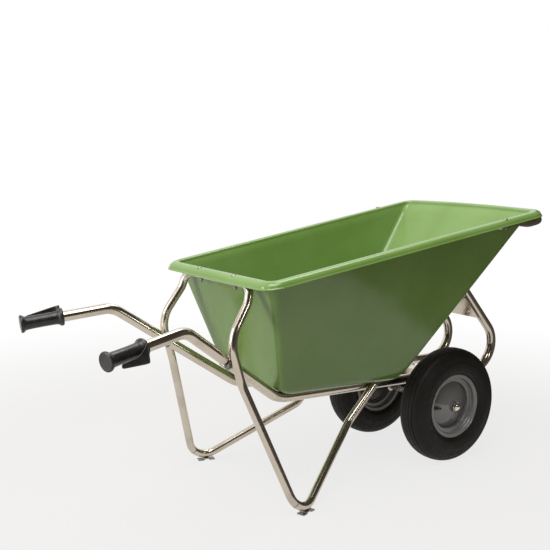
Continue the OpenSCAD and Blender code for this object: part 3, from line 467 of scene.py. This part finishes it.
def tubOutline(t, o):
    # plan of the tub at a level from floor (0) to rim (1), let out by o: a bowed front, straight sides
    # that draw in to the rear, and an arc at each corner
    s = tubSet
    xr = -mix(s["floorRear"], s["rimRear"], t) - o
    xf = mix(-s["floorFront"], s["rimFront"], t) + o
    wr = mix(s["floorRearW"], s["rimRearW"], t) / 2 + o
    wf = mix(s["floorFrontW"], s["rimFrontW"], t) / 2 + o
    r = max(s["cornerLeast"], mix(s["cornerFloor"], s["cornerTop"], t) + o)
    b = s["bulge"] * t
    lead = math.atan(2 * b * (wf - r) / wf ** 2)
    y0 = wf - r + r * math.sin(lead)
    cx = xf + b * (1 - (y0 / wf) ** 2) - r * math.cos(lead)
    y = np.linspace(-y0, y0, s["frontSteps"])
    front = np.stack([xf + b * (1 - (y / wf) ** 2), y], -1)

    def arc(x, yy, a0, a1):
        a = np.linspace(a0, a1, s["arcSteps"])
        return np.stack([x + r * np.cos(a), yy + r * np.sin(a)], -1)

    def run(p, q, n):  # n points between two ends
        return mix(p, q, np.linspace(0, 1, n + 2)[1:-1, None])

    c1 = arc(cx, wf - r, lead, math.pi / 2)[1:]
    c2 = arc(xr + r, wr - r, math.pi / 2, math.pi)
    c3 = arc(xr + r, r - wr, math.pi, 1.5 * math.pi)
    c4 = arc(cx, r - wf, 1.5 * math.pi, 2 * math.pi - lead)[:-1]
    return np.concatenate([front, c1, run(c1[-1], c2[0], s["sideSteps"]),
                           c2, run(c2[-1], c3[0], s["rearSteps"]),
                           c3, run(c3[-1], c4[0], s["sideSteps"]), c4])


def tubShell():
    # rings from the inside floor up the walls, over the rolled rim and down the outside to the floor again;
    # floor and walls meet in a parabola between floor edge, sharp corner and wall
    s = tubSet

    def floorRing(o, base):
        p = tubOutline(0, o)
        return np.column_stack([p, floorHeight(p[:, 0]) + base])

    def flatRing(o, base, share=1.0):
        p = tubOutline(0, o - s["round"])
        x = np.maximum(p[:, 0], s["rearRound"] - o - s["floorRear"])
        p = np.column_stack([x, p[:, 1], floorHeight(x) + base])
        return p.mean(0) + (p - p.mean(0)) * share

    def rimRing(o, q):
        p = tubOutline(1, o)
        return np.column_stack([p, rimHeight(p[:, 0]) + q])

    def wallRing(t, o, base):
        return mix(floorRing(o, base), rimRing(o, 0), t)

    def wallRings(o, base):  # one side of the shell, from the middle of the floor to just below the rim
        edge, corner, wall = flatRing(o, base), floorRing(o, base), wallRing(s["roundLevel"], o, base)
        bend = parabola(edge, corner, wall, np.linspace(0, 1, s["roundSteps"])[:, None, None])
        flat = [flatRing(o, base, share) for share in s["floorShares"]]
        return flat + list(bend) + [wallRing(t, o, base) for t in s["levels"]]

    roll = [rimRing(o, q) for o, q in softLine(s["roll"], s["rollSteps"])]
    rings = wallRings(0, s["wall"]) + roll + wallRings(s["wall"], 0)[::-1]
    return gridPiece("tubShell", toRow(np.array(rings)), poles=(True, True), sharp=60)


dress(tubShell(), "tub", "green_plastic", "frame", "tub")
print("tub shell made")


# Main tubes: handle, slanting run, rail and tipping bow in one

mainSet = {"d": 33.7, "railY": 111.0, "railBendX": 678.0, "handleBend": (-1080.0, 231.0, 599.0),
           "handleEnd": (-1358.0, 302.0, 565.0), "handleR": 80.0, "railR": 130.0, "bowR": 92.0,
           "bowFront": 334.0, "armAngle": 49.0, "gripEnd": 6.0, "seat": 0.1, "padT": 4.0, "padGap": 0.3,
           "padInner": 52.0}
tubeR = mainSet["d"] / 2
railWay = unit([1, 0, -tubSet["railFall"]])


def frontWall():
    # a point on the pads' rear face and the outward normal of the tub's front wall there
    s = tubSet
    bulge = s["bulge"] * (1 - (2 * (mainSet["railY"] - mainSet["padInner"]) / s["rimFrontW"]) ** 2)
    top = np.array([s["rimFront"] + bulge + s["wall"], 0, rimHeight(s["rimFront"] + bulge)])
    foot = np.array([-s["floorFront"] + s["wall"], 0, floorHeight(-s["floorFront"])])
    up = unit(top - foot)
    normal = np.array([up[2], 0, -up[0]])
    return foot + normal * mainSet["padGap"], normal


def mainCorners():
    # corners of the left tube: the bow is an arc tangent to the rail, its arm leaves at the arm's angle and
    # runs straight on to the plane of the pad
    s = mainSet
    a = math.radians(s["armAngle"])
    armWay, armUp = np.array([-math.cos(a), 0, math.sin(a)]), np.array([math.sin(a), 0, math.cos(a)])
    midX = s["bowFront"] - tubeR - s["bowR"]
    mid = np.array([midX, s["railY"], railHeight(midX) + s["bowR"] / railWay[0]])
    armFoot = mid + s["bowR"] * armUp
    turn = math.acos(float(railWay @ armWay))
    bowCorner = armFoot - armWay * s["bowR"] * math.tan(turn / 2)
    at, normal = frontWall()
    face = at + normal * (s["padT"] + s["seat"])
    armEnd = armFoot + armWay * ((face - armFoot) @ normal) / (armWay @ normal)
    end, bend = np.array(s["handleEnd"]), np.array(s["handleBend"])
    rail = np.array([-s["railBendX"], s["railY"], railHeight(-s["railBendX"])])
    corners = np.array([end + unit(bend - end) * s["gripEnd"], bend, rail, bowCorner, armEnd])
    return corners, armFoot, armWay, armUp, face, normal


mainLine, armFoot, armWay, armUp, padFace, wallNormal = mainCorners()
mainRadii = [0, mainSet["handleR"], mainSet["railR"], mainSet["bowR"], 0]
for side, turnOver in bothSides:
    piece = tubePiece(side + "MainTube", turnOver(mainLine), mainRadii, mainSet["d"], (0, 1, 0),
                      cut=(turnOver(padFace), wallNormal))
    dress(piece, "tube", "tube_steel", "frame", side + "_main_tube")
print("main tubes made")


# Leg bow: one tube from strut to foot to leg, across under the rear rim and down the other side

legSet = {"d": 26.9, "crossRun": 217.0, "lean": 0.28, "above": 69.0, "below": 72.0, "topY": 187.0,
          "foot": (-737.0, 316.0, -10.5425), "kneeDrop": 52.0, "kneeBack": 15.0, "strutX": 303.0,
          "strutAngle": 45.0, "strutRun": 150.0, "strutEnd": 10.0, "rimMid": 18.5, "legIn": 3.0,
          "hang": 18.65, "bends": (40.0, 62.0, 105.0, 140.0, 62.0, 60.0, 0.0)}


def legCorners():
    # corners of the left half: the leg passes the slanting run one tube's width outside it, the run under
    # the rim hangs square below the rim, and the strut lies against the rail's outer side
    s = legSet
    beside = tubeR + s["d"] / 2 + mainSet["seat"]
    slant = unit(mainLine[2] - mainLine[1])
    down = unit([s["lean"], 0, -1])
    cross = mainLine[1] + slant * s["crossRun"] + unit(np.cross(slant, down)) * beside
    tilt = math.atan(rimSlope)
    topX = -tubSet["rimRear"] - s["rimMid"] + s["legIn"]
    topZ = rimHeight(topX - s["hang"] * math.sin(tilt)) - s["hang"] * math.cos(tilt)
    top = np.array([topX, s["topY"], topZ])
    upper = cross - down * s["above"]
    share = s["kneeDrop"] / (top[2] - upper[2])
    knee = np.array([top[0] - s["kneeBack"], mix(top[1], upper[1], share), top[2] - s["kneeDrop"]])
    a = math.radians(s["strutAngle"])
    strutWay = np.array([math.cos(a), 0, math.sin(a)])
    strut = np.array([-s["strutX"], mainSet["railY"] + beside, railHeight(-s["strutX"])])
    half = np.array([top, knee, upper, cross + down * s["below"], s["foot"],
                     strut - strutWay * s["strutRun"], strut + strutWay * s["strutEnd"]])
    return half, strut, strutWay


legHalf, strutCross, strutWay = legCorners()
legLine = np.concatenate([flipped(legHalf[::-1]), legHalf])
legRadii = legSet["bends"][::-1] + legSet["bends"]
legPiece = tubePiece("legBow", legLine, legRadii, legSet["d"], (1, 0, -1))
dress(legPiece, "tube", "tube_steel", "frame", "leg_bow")
print("leg bow made")


# Front rim bow: tube under the front of the rim, pressed flat at both ends

bowSet = {"d": 26.9, "inset": 26.55, "drop": 31.55, "tongueFrom": 140.0, "crimp": 100.0, "tongueT": 6.0,
          "tongueW": 30.0, "tongueLen": 60.0, "noseR": 2000.0, "arcStep": 1.5, "up": (-0.141, 0, 0.99),
          "flatPower": 0.35, "tipLeast": 0.02, "count": 40,
          "tipRings": (0.2, 1.5, 4, 8, 15, 30, 45, 56), "crimpRings": (60, 160, 5)}


def frontRimBow():
    # the section is an oval whose two half sizes ease from the tube's radius to the flat tongue's, and
    # whose middle rises so that the top stays level; the last few rings draw in to a round end
    s = bowSet
    r = s["d"] / 2

    def under(x, y):
        return np.array([x, y, rimHeight(x) - s["drop"]])

    def rimHalf(x):
        return mix(tubSet["rimRearW"], tubSet["rimFrontW"], (x + tubSet["rimRear"]) / rimLong) / 2

    sideX = s["tongueFrom"] + s["crimp"]
    side = under(sideX, rimHalf(sideX) + s["inset"])
    frontX = tubSet["rimFront"] + s["inset"]
    corner = under(frontX, rimHalf(frontX) + s["inset"])
    nose = under(frontX + 2 * tubSet["bulge"], 0)
    endLong = s["crimp"] + s["tongueLen"]
    end = side + unit(side - corner) * endLong
    cornerR = tubSet["cornerTop"] + s["inset"]
    line, ways = bentLine([flipped(end), flipped(corner), nose, corner, end],
                          [0, cornerR, s["noseR"], cornerR, 0], s["arcStep"])
    rings = np.append(s["tipRings"], np.arange(*s["crimpRings"]))
    tongue = side - unit(corner - side) * (endLong - rings)[:, None]
    line = np.concatenate([flipped(tongue), line[1:-1], tongue[::-1]])
    first, last = (np.repeat(way[None], len(rings), 0) for way in (ways[0], ways[-1]))
    ways = np.concatenate([first, ways[1:-1], last])
    walk = walked(line)
    fromEnd = np.minimum(walk, walk[-1] - walk) + s["tipRings"][0]
    ease = np.clip((fromEnd - s["tongueLen"]) / s["crimp"], 0, 1)
    ease = ease * ease * (3 - 2 * ease)
    tip = np.clip(fromEnd / (s["tongueW"] / 2), 0, 1)
    wide = mix(s["tongueW"] / 2, r, ease) * np.sqrt(np.clip(1 - (1 - tip) ** 2, s["tipLeast"], 1))
    tall = mix(s["tongueT"] / 2, r, ease)
    power = mix(s["flatPower"], 1.0, ease)[:, None]
    up, across = acrossLine(ways, s["up"])
    a = fullTurn(s["count"])[None]
    h = tall[:, None] * squarish(np.sin(a), power) + (r - tall)[:, None]
    w = wide[:, None] * squarish(np.cos(a), power)
    points = line[:, None] + h[..., None] * up[:, None] + w[..., None] * across[:, None]
    return gridPiece("frontRimBow", toRow(points), poles=(True, True), lengths=walk * 1e-3, sharp=50)


dress(frontRimBow(), "tube", "tube_steel", "frame", "front_rim_bow")
print("front rim bow made")


# Wheels: ribbed tyre and pressed rim with a cone disc

wheelSet = {"tyreR": 201.5, "tyreHalf": 50.0, "track": 394.0, "flangeR": 114.0, "flangeHalf": 37.0,
            "seatR": 102.0, "wellR": 86.0, "wellHalf": 19.0, "press": 2.5, "hubD": 36.0, "coneW": 5.0,
            "coneAt": 33.0, "discAt": 8.0, "rimRound": 3.0, "outPower": 0.78, "inPower": 0.85, "tread": 9.0,
            "sideT": 6.0, "outSweep": 132.0, "inSweep": 150.0, "outSteps": 441, "inSteps": 61,
            "middleR": 150.0, "treadFrom": 170.0, "sideFrom": 36.0, "beadRoom": 0.3, "beadW": 13.0,
            "count": 180,
            "grooves": (0.0, 13.0, 26.0), "grooveW": 3.0, "grooveDeep": 2.5,
            "ribs": (191.0, 186.5, 182.0), "ribW": 1.6, "ribDeep": 0.9,
            "ridges": (174.0, 150.0, 128.0), "ridgeW": 2.4, "ridgeHigh": 0.8,
            "bands": (162.0,), "bandW": 14.0, "bandDeep": 0.5}


def ovalAt(rIn, rOut, half, power, sweep):
    # points of a squarish oval between two radii, for a row of angles from the tread's middle
    r = (rIn + rOut) / 2 + (rOut - rIn) / 2 * squarish(np.cos(sweep), power)
    return np.stack([r, half * squarish(np.sin(sweep), power)], -1)


def tyreProfile():
    # outside: a squarish oval with grooves round the tread, fine ribs at the shoulder and ridges on the
    # side wall pushed along its normal; then the bead and the hollow for the inner tube
    s = wheelSet
    sweep = np.radians(np.linspace(-s["outSweep"], s["outSweep"], s["outSteps"]))
    p = ovalAt(s["seatR"], s["tyreR"], s["tyreHalf"], s["outPower"], sweep)
    way = unit(np.gradient(p, axis=0))
    normal = np.stack([way[:, 1], -way[:, 0]], -1)
    normal *= np.sign((normal * (p - np.array([s["middleR"], 0.0]))).sum(-1, keepdims=True))
    h, r = np.abs(p[:, 1]), p[:, 0]
    onSide = h > s["sideFrom"]

    def marks(x, places, width, deep):  # rounded grooves or ridges: deep (1 - (x / half width)^4)
        return sum(deep * np.clip(1 - ((x - at) / (width / 2)) ** 4, 0, 1) for at in places)

    push = -marks(h, s["grooves"], s["grooveW"], s["grooveDeep"]) * (r > s["treadFrom"])
    push -= marks(r, s["ribs"], s["ribW"], s["ribDeep"]) * onSide
    push += marks(r, s["ridges"], s["ridgeW"], s["ridgeHigh"]) * onSide
    push -= marks(r, s["bands"], s["bandW"], s["bandDeep"]) * onSide
    p = p + normal * push[:, None]
    room, beadH, seat = s["beadRoom"], s["flangeHalf"] - s["press"], s["seatR"]
    bead = np.array([(s["flangeR"] + room, beadH - room), (seat + 2, beadH - 1), (seat + 0.4, beadH - 2.5),
                     (seat + 0.4, beadH - s["beadW"])])
    sweep = np.radians(np.linspace(s["inSweep"], -s["inSweep"], s["inSteps"]))
    hollow = ovalAt(seat + 4, s["tyreR"] - s["tread"], s["tyreHalf"] - s["sideT"], s["inPower"], sweep)
    return np.concatenate([p, bead, hollow, (bead * [1, -1])[::-1]])


def rimProfile():
    # flange, bead seat and well on the tyre's side, the same set in by the sheet's thickness on the other
    # side, and a cone disc from the well to the hub; roundLoop eases all corners
    s = wheelSet
    fr, sr, wr, half, t = s["flangeR"], s["seatR"], s["wellR"], s["flangeHalf"], s["press"]
    beadH, skin = half - t, 0.9 * t
    outer = np.array([(fr, half + 0.6), (fr - 0.8, half - t), (sr + 1.5, beadH - 0.6), (sr, beadH - 2),
                      (sr - 0.5, beadH - 15), (wr, s["wellHalf"])])
    lift = np.where(outer[:, 0] > sr + 1, t, 0.5 * t)
    inner = np.stack([outer[:, 0] - skin, outer[:, 1] + lift], -1)
    dr, hub, top, low = wr - skin, s["hubD"] / 2, s["coneAt"], s["discAt"]
    cone = hub + s["coneW"]
    disc = np.array([(dr, low - 4), (dr - 4, low), (cone, top), (hub + 0.1, top), (hub + 0.1, top - t),
                     (cone - 0.6, top - t), (dr - 5, low - t), (dr - t, low - 5), (dr - t, low - 13),
                     (dr, low - 13)])
    flip = np.array([1, -1])
    loop = np.concatenate([outer, (outer * flip)[::-1], inner * flip, disc[::-1], inner[::-1]])
    return roundLoop(loop, s["rimRound"])


def wheelPlace(side):  # the wheel's middle, the axle's direction outwards, and two directions square to it
    middle = np.array([0, side * wheelSet["track"] / 2, axleZ * 1e3])
    return middle, np.array([0, side, 0.0]), np.array([1.0, 0, 0]), np.array([0, 0, -side * 1.0])


for name, side in (("left", 1), ("right", -1)):
    body, place = name + "_wheel", wheelPlace(side)
    tyre = revolved(name + "Tyre", tyreProfile(), place, wheelSet["count"], sharp=70)
    dress(tyre, "tyre", "tyre", body, name + "_tyre")
    rim = revolved(name + "Rim", rimProfile(), place, wheelSet["count"], sharp=50)
    dress(rim, "wheel", "wheel_grey", body, name + "_rim")
print("tyres and rims made")


# Grips: turned sleeve with a knuckle guard on its outer side

gripSet = {"len": 133.0, "d": 42.0, "flangeD": 56.0, "bore": 33.9, "guardLen": 111.0, "guardGap": 15.0,
           "guardT": 4.0, "endT": 5.9, "pole": 0.02, "sleeveSteps": 8, "sleeveCount": 72, "roll": 9.0,
           "guardRoot": (20.0, 127.0), "guardCorner": 124.0, "guardStraight": 89.0, "guardSteps": 17,
           "guardTail": (60.0, 52, 44, 36, 28, 20, 13, 8, 5, 3, 1.8, 1, 0.4, 0), "guardCount": 32,
           "sidePower": 0.6, "edgePower": 0.35, "tipShare": 0.5,
           "upperEdge": ([22, 23, 25, 70, 80, 90, 100, 110, 120, 132],
                         [-13, -9.5, -7.5, -6, -3.5, 1.6, 8, 15.5, 21.5, 24]),
           "lowerEdge": ([22, 23, 28, 132], [-15, -19, -21, -37])}


def gripPlace(turnOver):  # the handle's end, its direction, and outwards and up square to it
    end, bend = np.array(mainSet["handleEnd"]), np.array(mainSet["handleBend"])
    way = unit(bend - end)
    out = unit(np.array([0, 1.0, 0]) - way[1] * way)
    return turnOver(end), turnOver(way), turnOver(out), turnOver(np.cross(way, out))


def gripSleeve(name, turnOver):
    # outline from the closed outer end over flange, waisted body and collar, then back down the bore
    s = gripSet
    b, f, n, bore = s["d"] / 2, s["flangeD"] / 2, s["len"], s["bore"] / 2
    shell = softLine([(0, 0.8), (f - 10, 0.8), (f - 7.5, 0.4), (f - 5, 0), (f - 2.4, 0.2), (f - 0.3, 1.4),
                      (f + 0.2, 4), (f, 7.5), (f - 2.2, 10.5), (b + 1.4, 13.5), (b, 19), (b - 0.6, 40),
                      (b - 1, 66), (b - 0.6, 96), (b, n - 21), (b + 2, n - 16), (f - 1.6, n - 12),
                      (f + 0.3, n - 9), (f + 0.2, n - 4), (f - 1.4, n - 0.6), (f - 5, n)], s["sleeveSteps"])
    shell[0, 0] = s["pole"]
    inside = np.array([(bore + 1, n), (bore, n - 1), (bore, s["endT"]), (s["pole"], s["endT"])])
    profile = np.concatenate([shell, inside])
    return revolved(name, profile, gripPlace(turnOver), s["sleeveCount"], sharp=50, closed=False)


def gripGuard(name, turnOver, turned):
    # a rounded bar section carried from the collar outwards and back beside the hand, its height
    # following one curve for the upper edge and one for the lower; one moulding serves both handles, so
    # the left one is upside down, less a small turn on its handle
    s = gripSet
    reach = s["d"] / 2 + s["guardGap"] + s["guardT"] / 2
    root, corner = np.array(s["guardRoot"]), np.array([reach, s["guardCorner"]])
    bend = parabola(root, corner, np.array([reach, s["guardStraight"]]),
                    np.linspace(0, 1, s["guardSteps"])[:, None])
    tail = s["len"] - s["guardLen"] + np.array(s["guardTail"])
    plan = np.concatenate([bend, np.stack([np.full(len(tail), reach), tail], -1)])
    way = unit(np.gradient(plan, axis=0))
    side = np.stack([way[:, 1], -way[:, 0]], -1)
    z = plan[:, 1]
    top, foot = np.interp(z, *s["upperEdge"]), np.interp(z, *s["lowerEdge"])
    q = fullTurn(s["guardCount"])[None]
    half = s["guardT"] / 2 * np.append(np.ones(len(plan) - 1), s["tipShare"])
    x = half[:, None] * squarish(np.cos(q), s["sidePower"])
    y = ((top + foot) / 2)[:, None] + ((top - foot) / 2)[:, None] * squarish(np.sin(q), s["edgePower"])
    origin, axis, out, up = gripPlace(turnOver)
    radial = plan[:, 0][:, None] + x * side[:, 0][:, None]
    axial = z[:, None] + x * side[:, 1][:, None]
    if turned:
        a = math.radians(-s["roll"])
        radial, y = radial * math.cos(a) + y * math.sin(a), radial * math.sin(a) - y * math.cos(a)
    points = origin + radial[..., None] * out + axial[..., None] * axis + y[..., None] * up
    return gridPiece(name, toRow(points), poles=(True, True), sharp=60)


for name, turnOver in bothSides:
    for piece in (gripSleeve(name + "GripSleeve", turnOver),
                  gripGuard(name + "GripGuard", turnOver, name == "left")):
        dress(piece, "grip", "black_rubber", "frame", name + "_grip")
print("grips made")


# Weld seams where tubes and plates meet

weldSet = {"r": 2.6, "ripple": 0.16, "pitch": 3.2, "step": 0.8, "least": 0.03, "count": 12,
           "strutLong": 11.0, "strutWide": 5.0, "strutSteps": 60, "strutLean": (0.3, 1, 0.2),
           "plateFrom": 69.0, "plateLong": 110.0, "plateEnd": 12.0, "plateSink": 1.5, "plateIn": 6.0,
           "plateLean": (0, 1, 0)}


def weldSeam(name, points, lean):
    # a thin round bead along a line, its radius swelling and shrinking with the welder's steps:
    # r (1 + ripple cos(2 pi at / pitch)), drawn in at both ends
    s = weldSet
    p = np.asarray(points, float)
    walk = walked(p)
    at = np.linspace(0, walk[-1], max(8, int(walk[-1] / s["step"])))
    line = np.stack([np.interp(at, walk, p[:, k]) for k in range(3)], -1)
    way = unit(np.gradient(line, axis=0))
    taper = np.sqrt(np.clip(1 - (2 * at / walk[-1] - 1) ** 8, s["least"], 1))
    r = s["r"] * (1 + s["ripple"] * np.cos(2 * np.pi * at / s["pitch"])) * taper
    piece = gridPiece(name, toRow(ringsRound(line, way, r, lean, s["count"])), poles=(True, True), sharp=80)
    piece.data.materials.append(finish["zinc"])
    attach(piece, "frame")


def strutSeam():
    # oval line round the patch where strut and rail touch
    s = weldSet
    normal = np.array([0, 1.0, 0])
    mid = strutCross - normal * (legSet["d"] / 2)
    a = np.linspace(0, 2 * np.pi, s["strutSteps"])[:, None]
    along = unit(strutWay + railWay)
    over = np.cross(normal, along)
    return mid + s["strutLong"] * np.cos(a) * along + s["strutWide"] * np.sin(a) * over


def plateSeam():
    # straight line along the arm, on its lower side, where the cross plate meets it
    s = weldSet
    inwards = np.array([0, s["plateIn"], 0])
    edge = armFoot + armWay * s["plateFrom"] - armUp * (tubeR - s["plateSink"]) - inwards
    return np.array([edge + armWay * s["plateEnd"], edge + armWay * (s["plateLong"] - s["plateEnd"])])


for name, turnOver in bothSides:
    weldSeam(name + "StrutWeld", turnOver(strutSeam()), weldSet["strutLean"])
    weldSeam(name + "PlateWeld", turnOver(plateSeam()), weldSet["plateLean"])
print("weld seams made")


# Carried-over parts get their finish

carried = {"tube": ("bow_cross_plate", "rail_cross_bar", "left_axle_bracket", "right_axle_bracket"),
           "zinc": ("axle", "axle_spacers", "axle_washers", "leg_strap_bolts", "left_arm_pad",
                    "right_arm_pad", "front_wall_bolts", "front_wall_washers", "front_wall_nuts"),
           "bolt": ("left_foot_shoe", "right_foot_shoe", "rear_rim_bolts", "rear_rim_nuts", "side_rim_bolts",
                    "side_rim_nuts"),
           "strap": ("left_leg_strap", "right_leg_strap"),
           "cap": ("axle_caps",),
           "wheel": ("left_hub", "right_hub"),
           "inner": ("rear_rim_washers", "left_inner_tube", "right_inner_tube", "left_valve", "right_valve"),
           "bush": ("left_bushes", "right_bushes")}
for finishName, nodeNames in carried.items():
    for nodeName in nodeNames:
        slots = nodes[nodeName].data.materials
        for i in range(len(slots)):
            slots[i] = finish[finishName]
print("carried parts dressed:", sum(len(nodeNames) for nodeNames in carried.values()))


# Stage: floor, surroundings, lights and camera, in metres

stageSet = {"floor": (0.36, 0.333, 0.292), "floorRings": (0.5, 2.0, 6.0, 30.0, 120.0), "floorSides": 96,
            "floorZ": -0.0005, "white": 0.78, "mirrored": 0.65, "whiteFrom": 1.0, "whiteTo": 3.0,
            "skyLow": 0.02, "skyHigh": 0.68, "skyFrom": -0.1, "skyTo": 0.9, "skyWay": (-0.6, 0.3, 0.75),
            "keyFrom": (-1.3, -0.9, 4.2), "keyPower": 125.0, "keySize": (2.8, 2.8),
            "topFrom": (1.4, 1.2, 4.3), "topPower": 36.0, "topSize": (1.7, 1.7),
            "stripFrom": (-3.2, 0.7, 1.3), "stripPower": 36.0, "stripSize": (0.5, 2.3),
            "fillFrom": (0.5, -3.4, 1.5), "fillPower": 5.5, "fillSize": (0.35, 0.35), "aim": (0.1, 0.0, 0.45),
            "dark": (0.13, 0.113, 0.1), "darkMid": (-0.8, -0.2), "darkFrom": 1.95, "darkRadius": 6.4,
            "darkTop": 20.0, "darkArc": (-150.0, 14.0), "darkSteps": 48, "darkThick": 0.02,
            "darkFloor": (0.003, 0.004), "darkBetween": (3.0, 2.0)}


def seenRay(tree):  # 1 for rays from the camera or from a mirror or glass, 0 for the rest
    path = addNode(tree, "ShaderNodeLightPath")
    seen = path.outputs["Is Camera Ray"]
    for label in ("Is Glossy Ray", "Is Transmission Ray"):
        seen = mathOut(tree, "MAXIMUM", seen, path.outputs[label])
    return seen


def floorPiece():
    # a round floor, plain white in part for the camera and in mirrors, so that it keeps a soft shadow near
    # the object, and all white further out
    s = stageSet
    a = fullTurn(s["floorSides"])
    r = np.array(s["floorRings"])[:, None]
    x, y = r * np.cos(a), r * np.sin(a)
    piece = gridPiece("studioFloor", np.stack([x, y, np.full(x.shape, s["floorZ"])], -1), poles=(True, False))
    look = Finish("studioFloor", s["floor"], rough=0.85, Specular_IOR_Level=0.1)
    tree = look.tree
    reach = addNode(tree, "ShaderNodeVectorMath", operation="LENGTH")
    tree.links.new(look.coords.outputs["Object"], reach.inputs[0])
    path = addNode(tree, "ShaderNodeLightPath")
    start = rangeOut(tree, path.outputs["Is Camera Ray"], 0.0, 1.0, s["mirrored"], s["white"])
    white = rangeOut(tree, reach.outputs["Value"], s["whiteFrom"], s["whiteTo"], start, 1.0)
    glow = addNode(tree, "ShaderNodeEmission")
    blend = addNode(tree, "ShaderNodeMixShader")
    tree.links.new(mathOut(tree, "MULTIPLY", white, seenRay(tree)), blend.inputs[0])
    tree.links.new(look.shader.outputs[0], blend.inputs[1])
    tree.links.new(glow.outputs[0], blend.inputs[2])
    tree.links.new(blend.outputs[0], tree.nodes["Material Output"].inputs["Surface"])
    piece.data.materials.append(look.material)
    if piece.data.polygons[0].normal.z < 0:
        piece.data.flip_normals()


def darkSurround():
    # the unlit room beside and behind the camera, seen in reflections only: an upright screen and the
    # floor before it, one bent section carried round an arc and closed at both ends
    s = stageSet
    near, reach, top = s["darkFrom"], s["darkRadius"], s["darkTop"]
    (under, over), (midway, halfUp), back = s["darkFloor"], s["darkBetween"], reach + s["darkThick"]
    section = np.array([(near, over), (midway, over), (reach, over), (reach, halfUp), (reach, top),
                        (back, top), (back, under), (near, under)])
    a = np.radians(np.linspace(*s["darkArc"], s["darkSteps"]))[:, None]
    x = s["darkMid"][0] + section[:, 0] * np.cos(a)
    y = s["darkMid"][1] + section[:, 0] * np.sin(a)
    points = np.stack([x, y, np.broadcast_to(section[:, 1], x.shape)], -1)
    piece = gridPiece("darkSurround", points, poles=(True, True), sharp=20)
    look = Finish("darkSurround", s["dark"], rough=1.0, Specular_IOR_Level=0.0)
    piece.data.materials.append(look.material)
    piece.visible_camera = piece.visible_diffuse = piece.visible_shadow = piece.visible_transmission = False


def skyLight():
    # white to the camera and in reflections; as light it is brightest over the left shoulder of the barrow
    # and fades to the unlit side of the room
    s = stageSet
    world = bpy.data.worlds.new("studioSky")
    bpy.context.scene.world = world
    world.use_nodes = True
    tree = world.node_tree
    back = tree.nodes["Background"]
    coords = addNode(tree, "ShaderNodeTexCoord")
    toward = addNode(tree, "ShaderNodeVectorMath", operation="DOT_PRODUCT")
    tree.links.new(coords.outputs["Generated"], toward.inputs[0])
    toward.inputs[1].default_value = unit(s["skyWay"])
    light = rangeOut(tree, toward.outputs["Value"], s["skyFrom"], s["skyTo"], s["skyLow"], s["skyHigh"])
    level = addNode(tree, "ShaderNodeMapRange")
    tree.links.new(light, level.inputs["To Min"])
    level.inputs["To Max"].default_value = 1.0
    tree.links.new(seenRay(tree), level.inputs["Value"])
    back.inputs["Color"].default_value = (1, 1, 1, 1)
    tree.links.new(level.outputs["Result"], back.inputs["Strength"])


def facing(place, back, right):  # the matrix of a lamp or camera from its backward and rightward directions
    axes = np.column_stack([right, np.cross(back, right), back])
    return Matrix.Translation(place) @ Matrix(axes.tolist()).to_4x4()


def softBox(name, place, power, size):  # a rectangular lamp turned towards the object
    data = bpy.data.lights.new(name, "AREA")
    data.energy, data.shape = power, "RECTANGLE"
    data.size, data.size_y = size
    lamp = bpy.data.objects.new(name, data)
    back = unit(np.subtract(place, stageSet["aim"]))
    lamp.matrix_world = facing(place, back, unit(np.cross((0, 0, 1), back)))
    bpy.context.scene.collection.objects.link(lamp)


cameraSet = {"azimuth": -35.513, "pitch": 8.421, "place": (-2366.04, -2463.62, 1138.84), "focal": 937.55,
             "width": 550, "sensor": 36.0, "clip": (0.05, 400.0)}


def photoCamera():
    # photograph's view: azimuth and pitch in degrees, place in millimetres from the axle, focal length and
    # width in pixels
    s = cameraSet
    a, e = math.radians(s["azimuth"]), math.radians(s["pitch"])
    back = np.array([math.sin(a) * math.cos(e), -math.cos(a) * math.cos(e), math.sin(e)])
    right = np.array([math.cos(a), math.sin(a), 0.0])
    data = bpy.data.cameras.new("photoCamera")
    data.sensor_width, data.sensor_fit = s["sensor"], "HORIZONTAL"
    data.lens = s["focal"] / s["width"] * s["sensor"]
    data.clip_start, data.clip_end = s["clip"]
    camera = bpy.data.objects.new("photoCamera", data)
    camera.matrix_world = facing(toRow(s["place"]).tolist(), back, right)
    bpy.context.scene.collection.objects.link(camera)
    bpy.context.scene.camera = camera


floorPiece()
darkSurround()
skyLight()
for name in ("key", "top", "strip", "fill"):
    softBox(name + "Box", stageSet[name + "From"], stageSet[name + "Power"], stageSet[name + "Size"])
photoCamera()
bpy.context.scene.view_settings.view_transform = "Standard"
print("stage set")
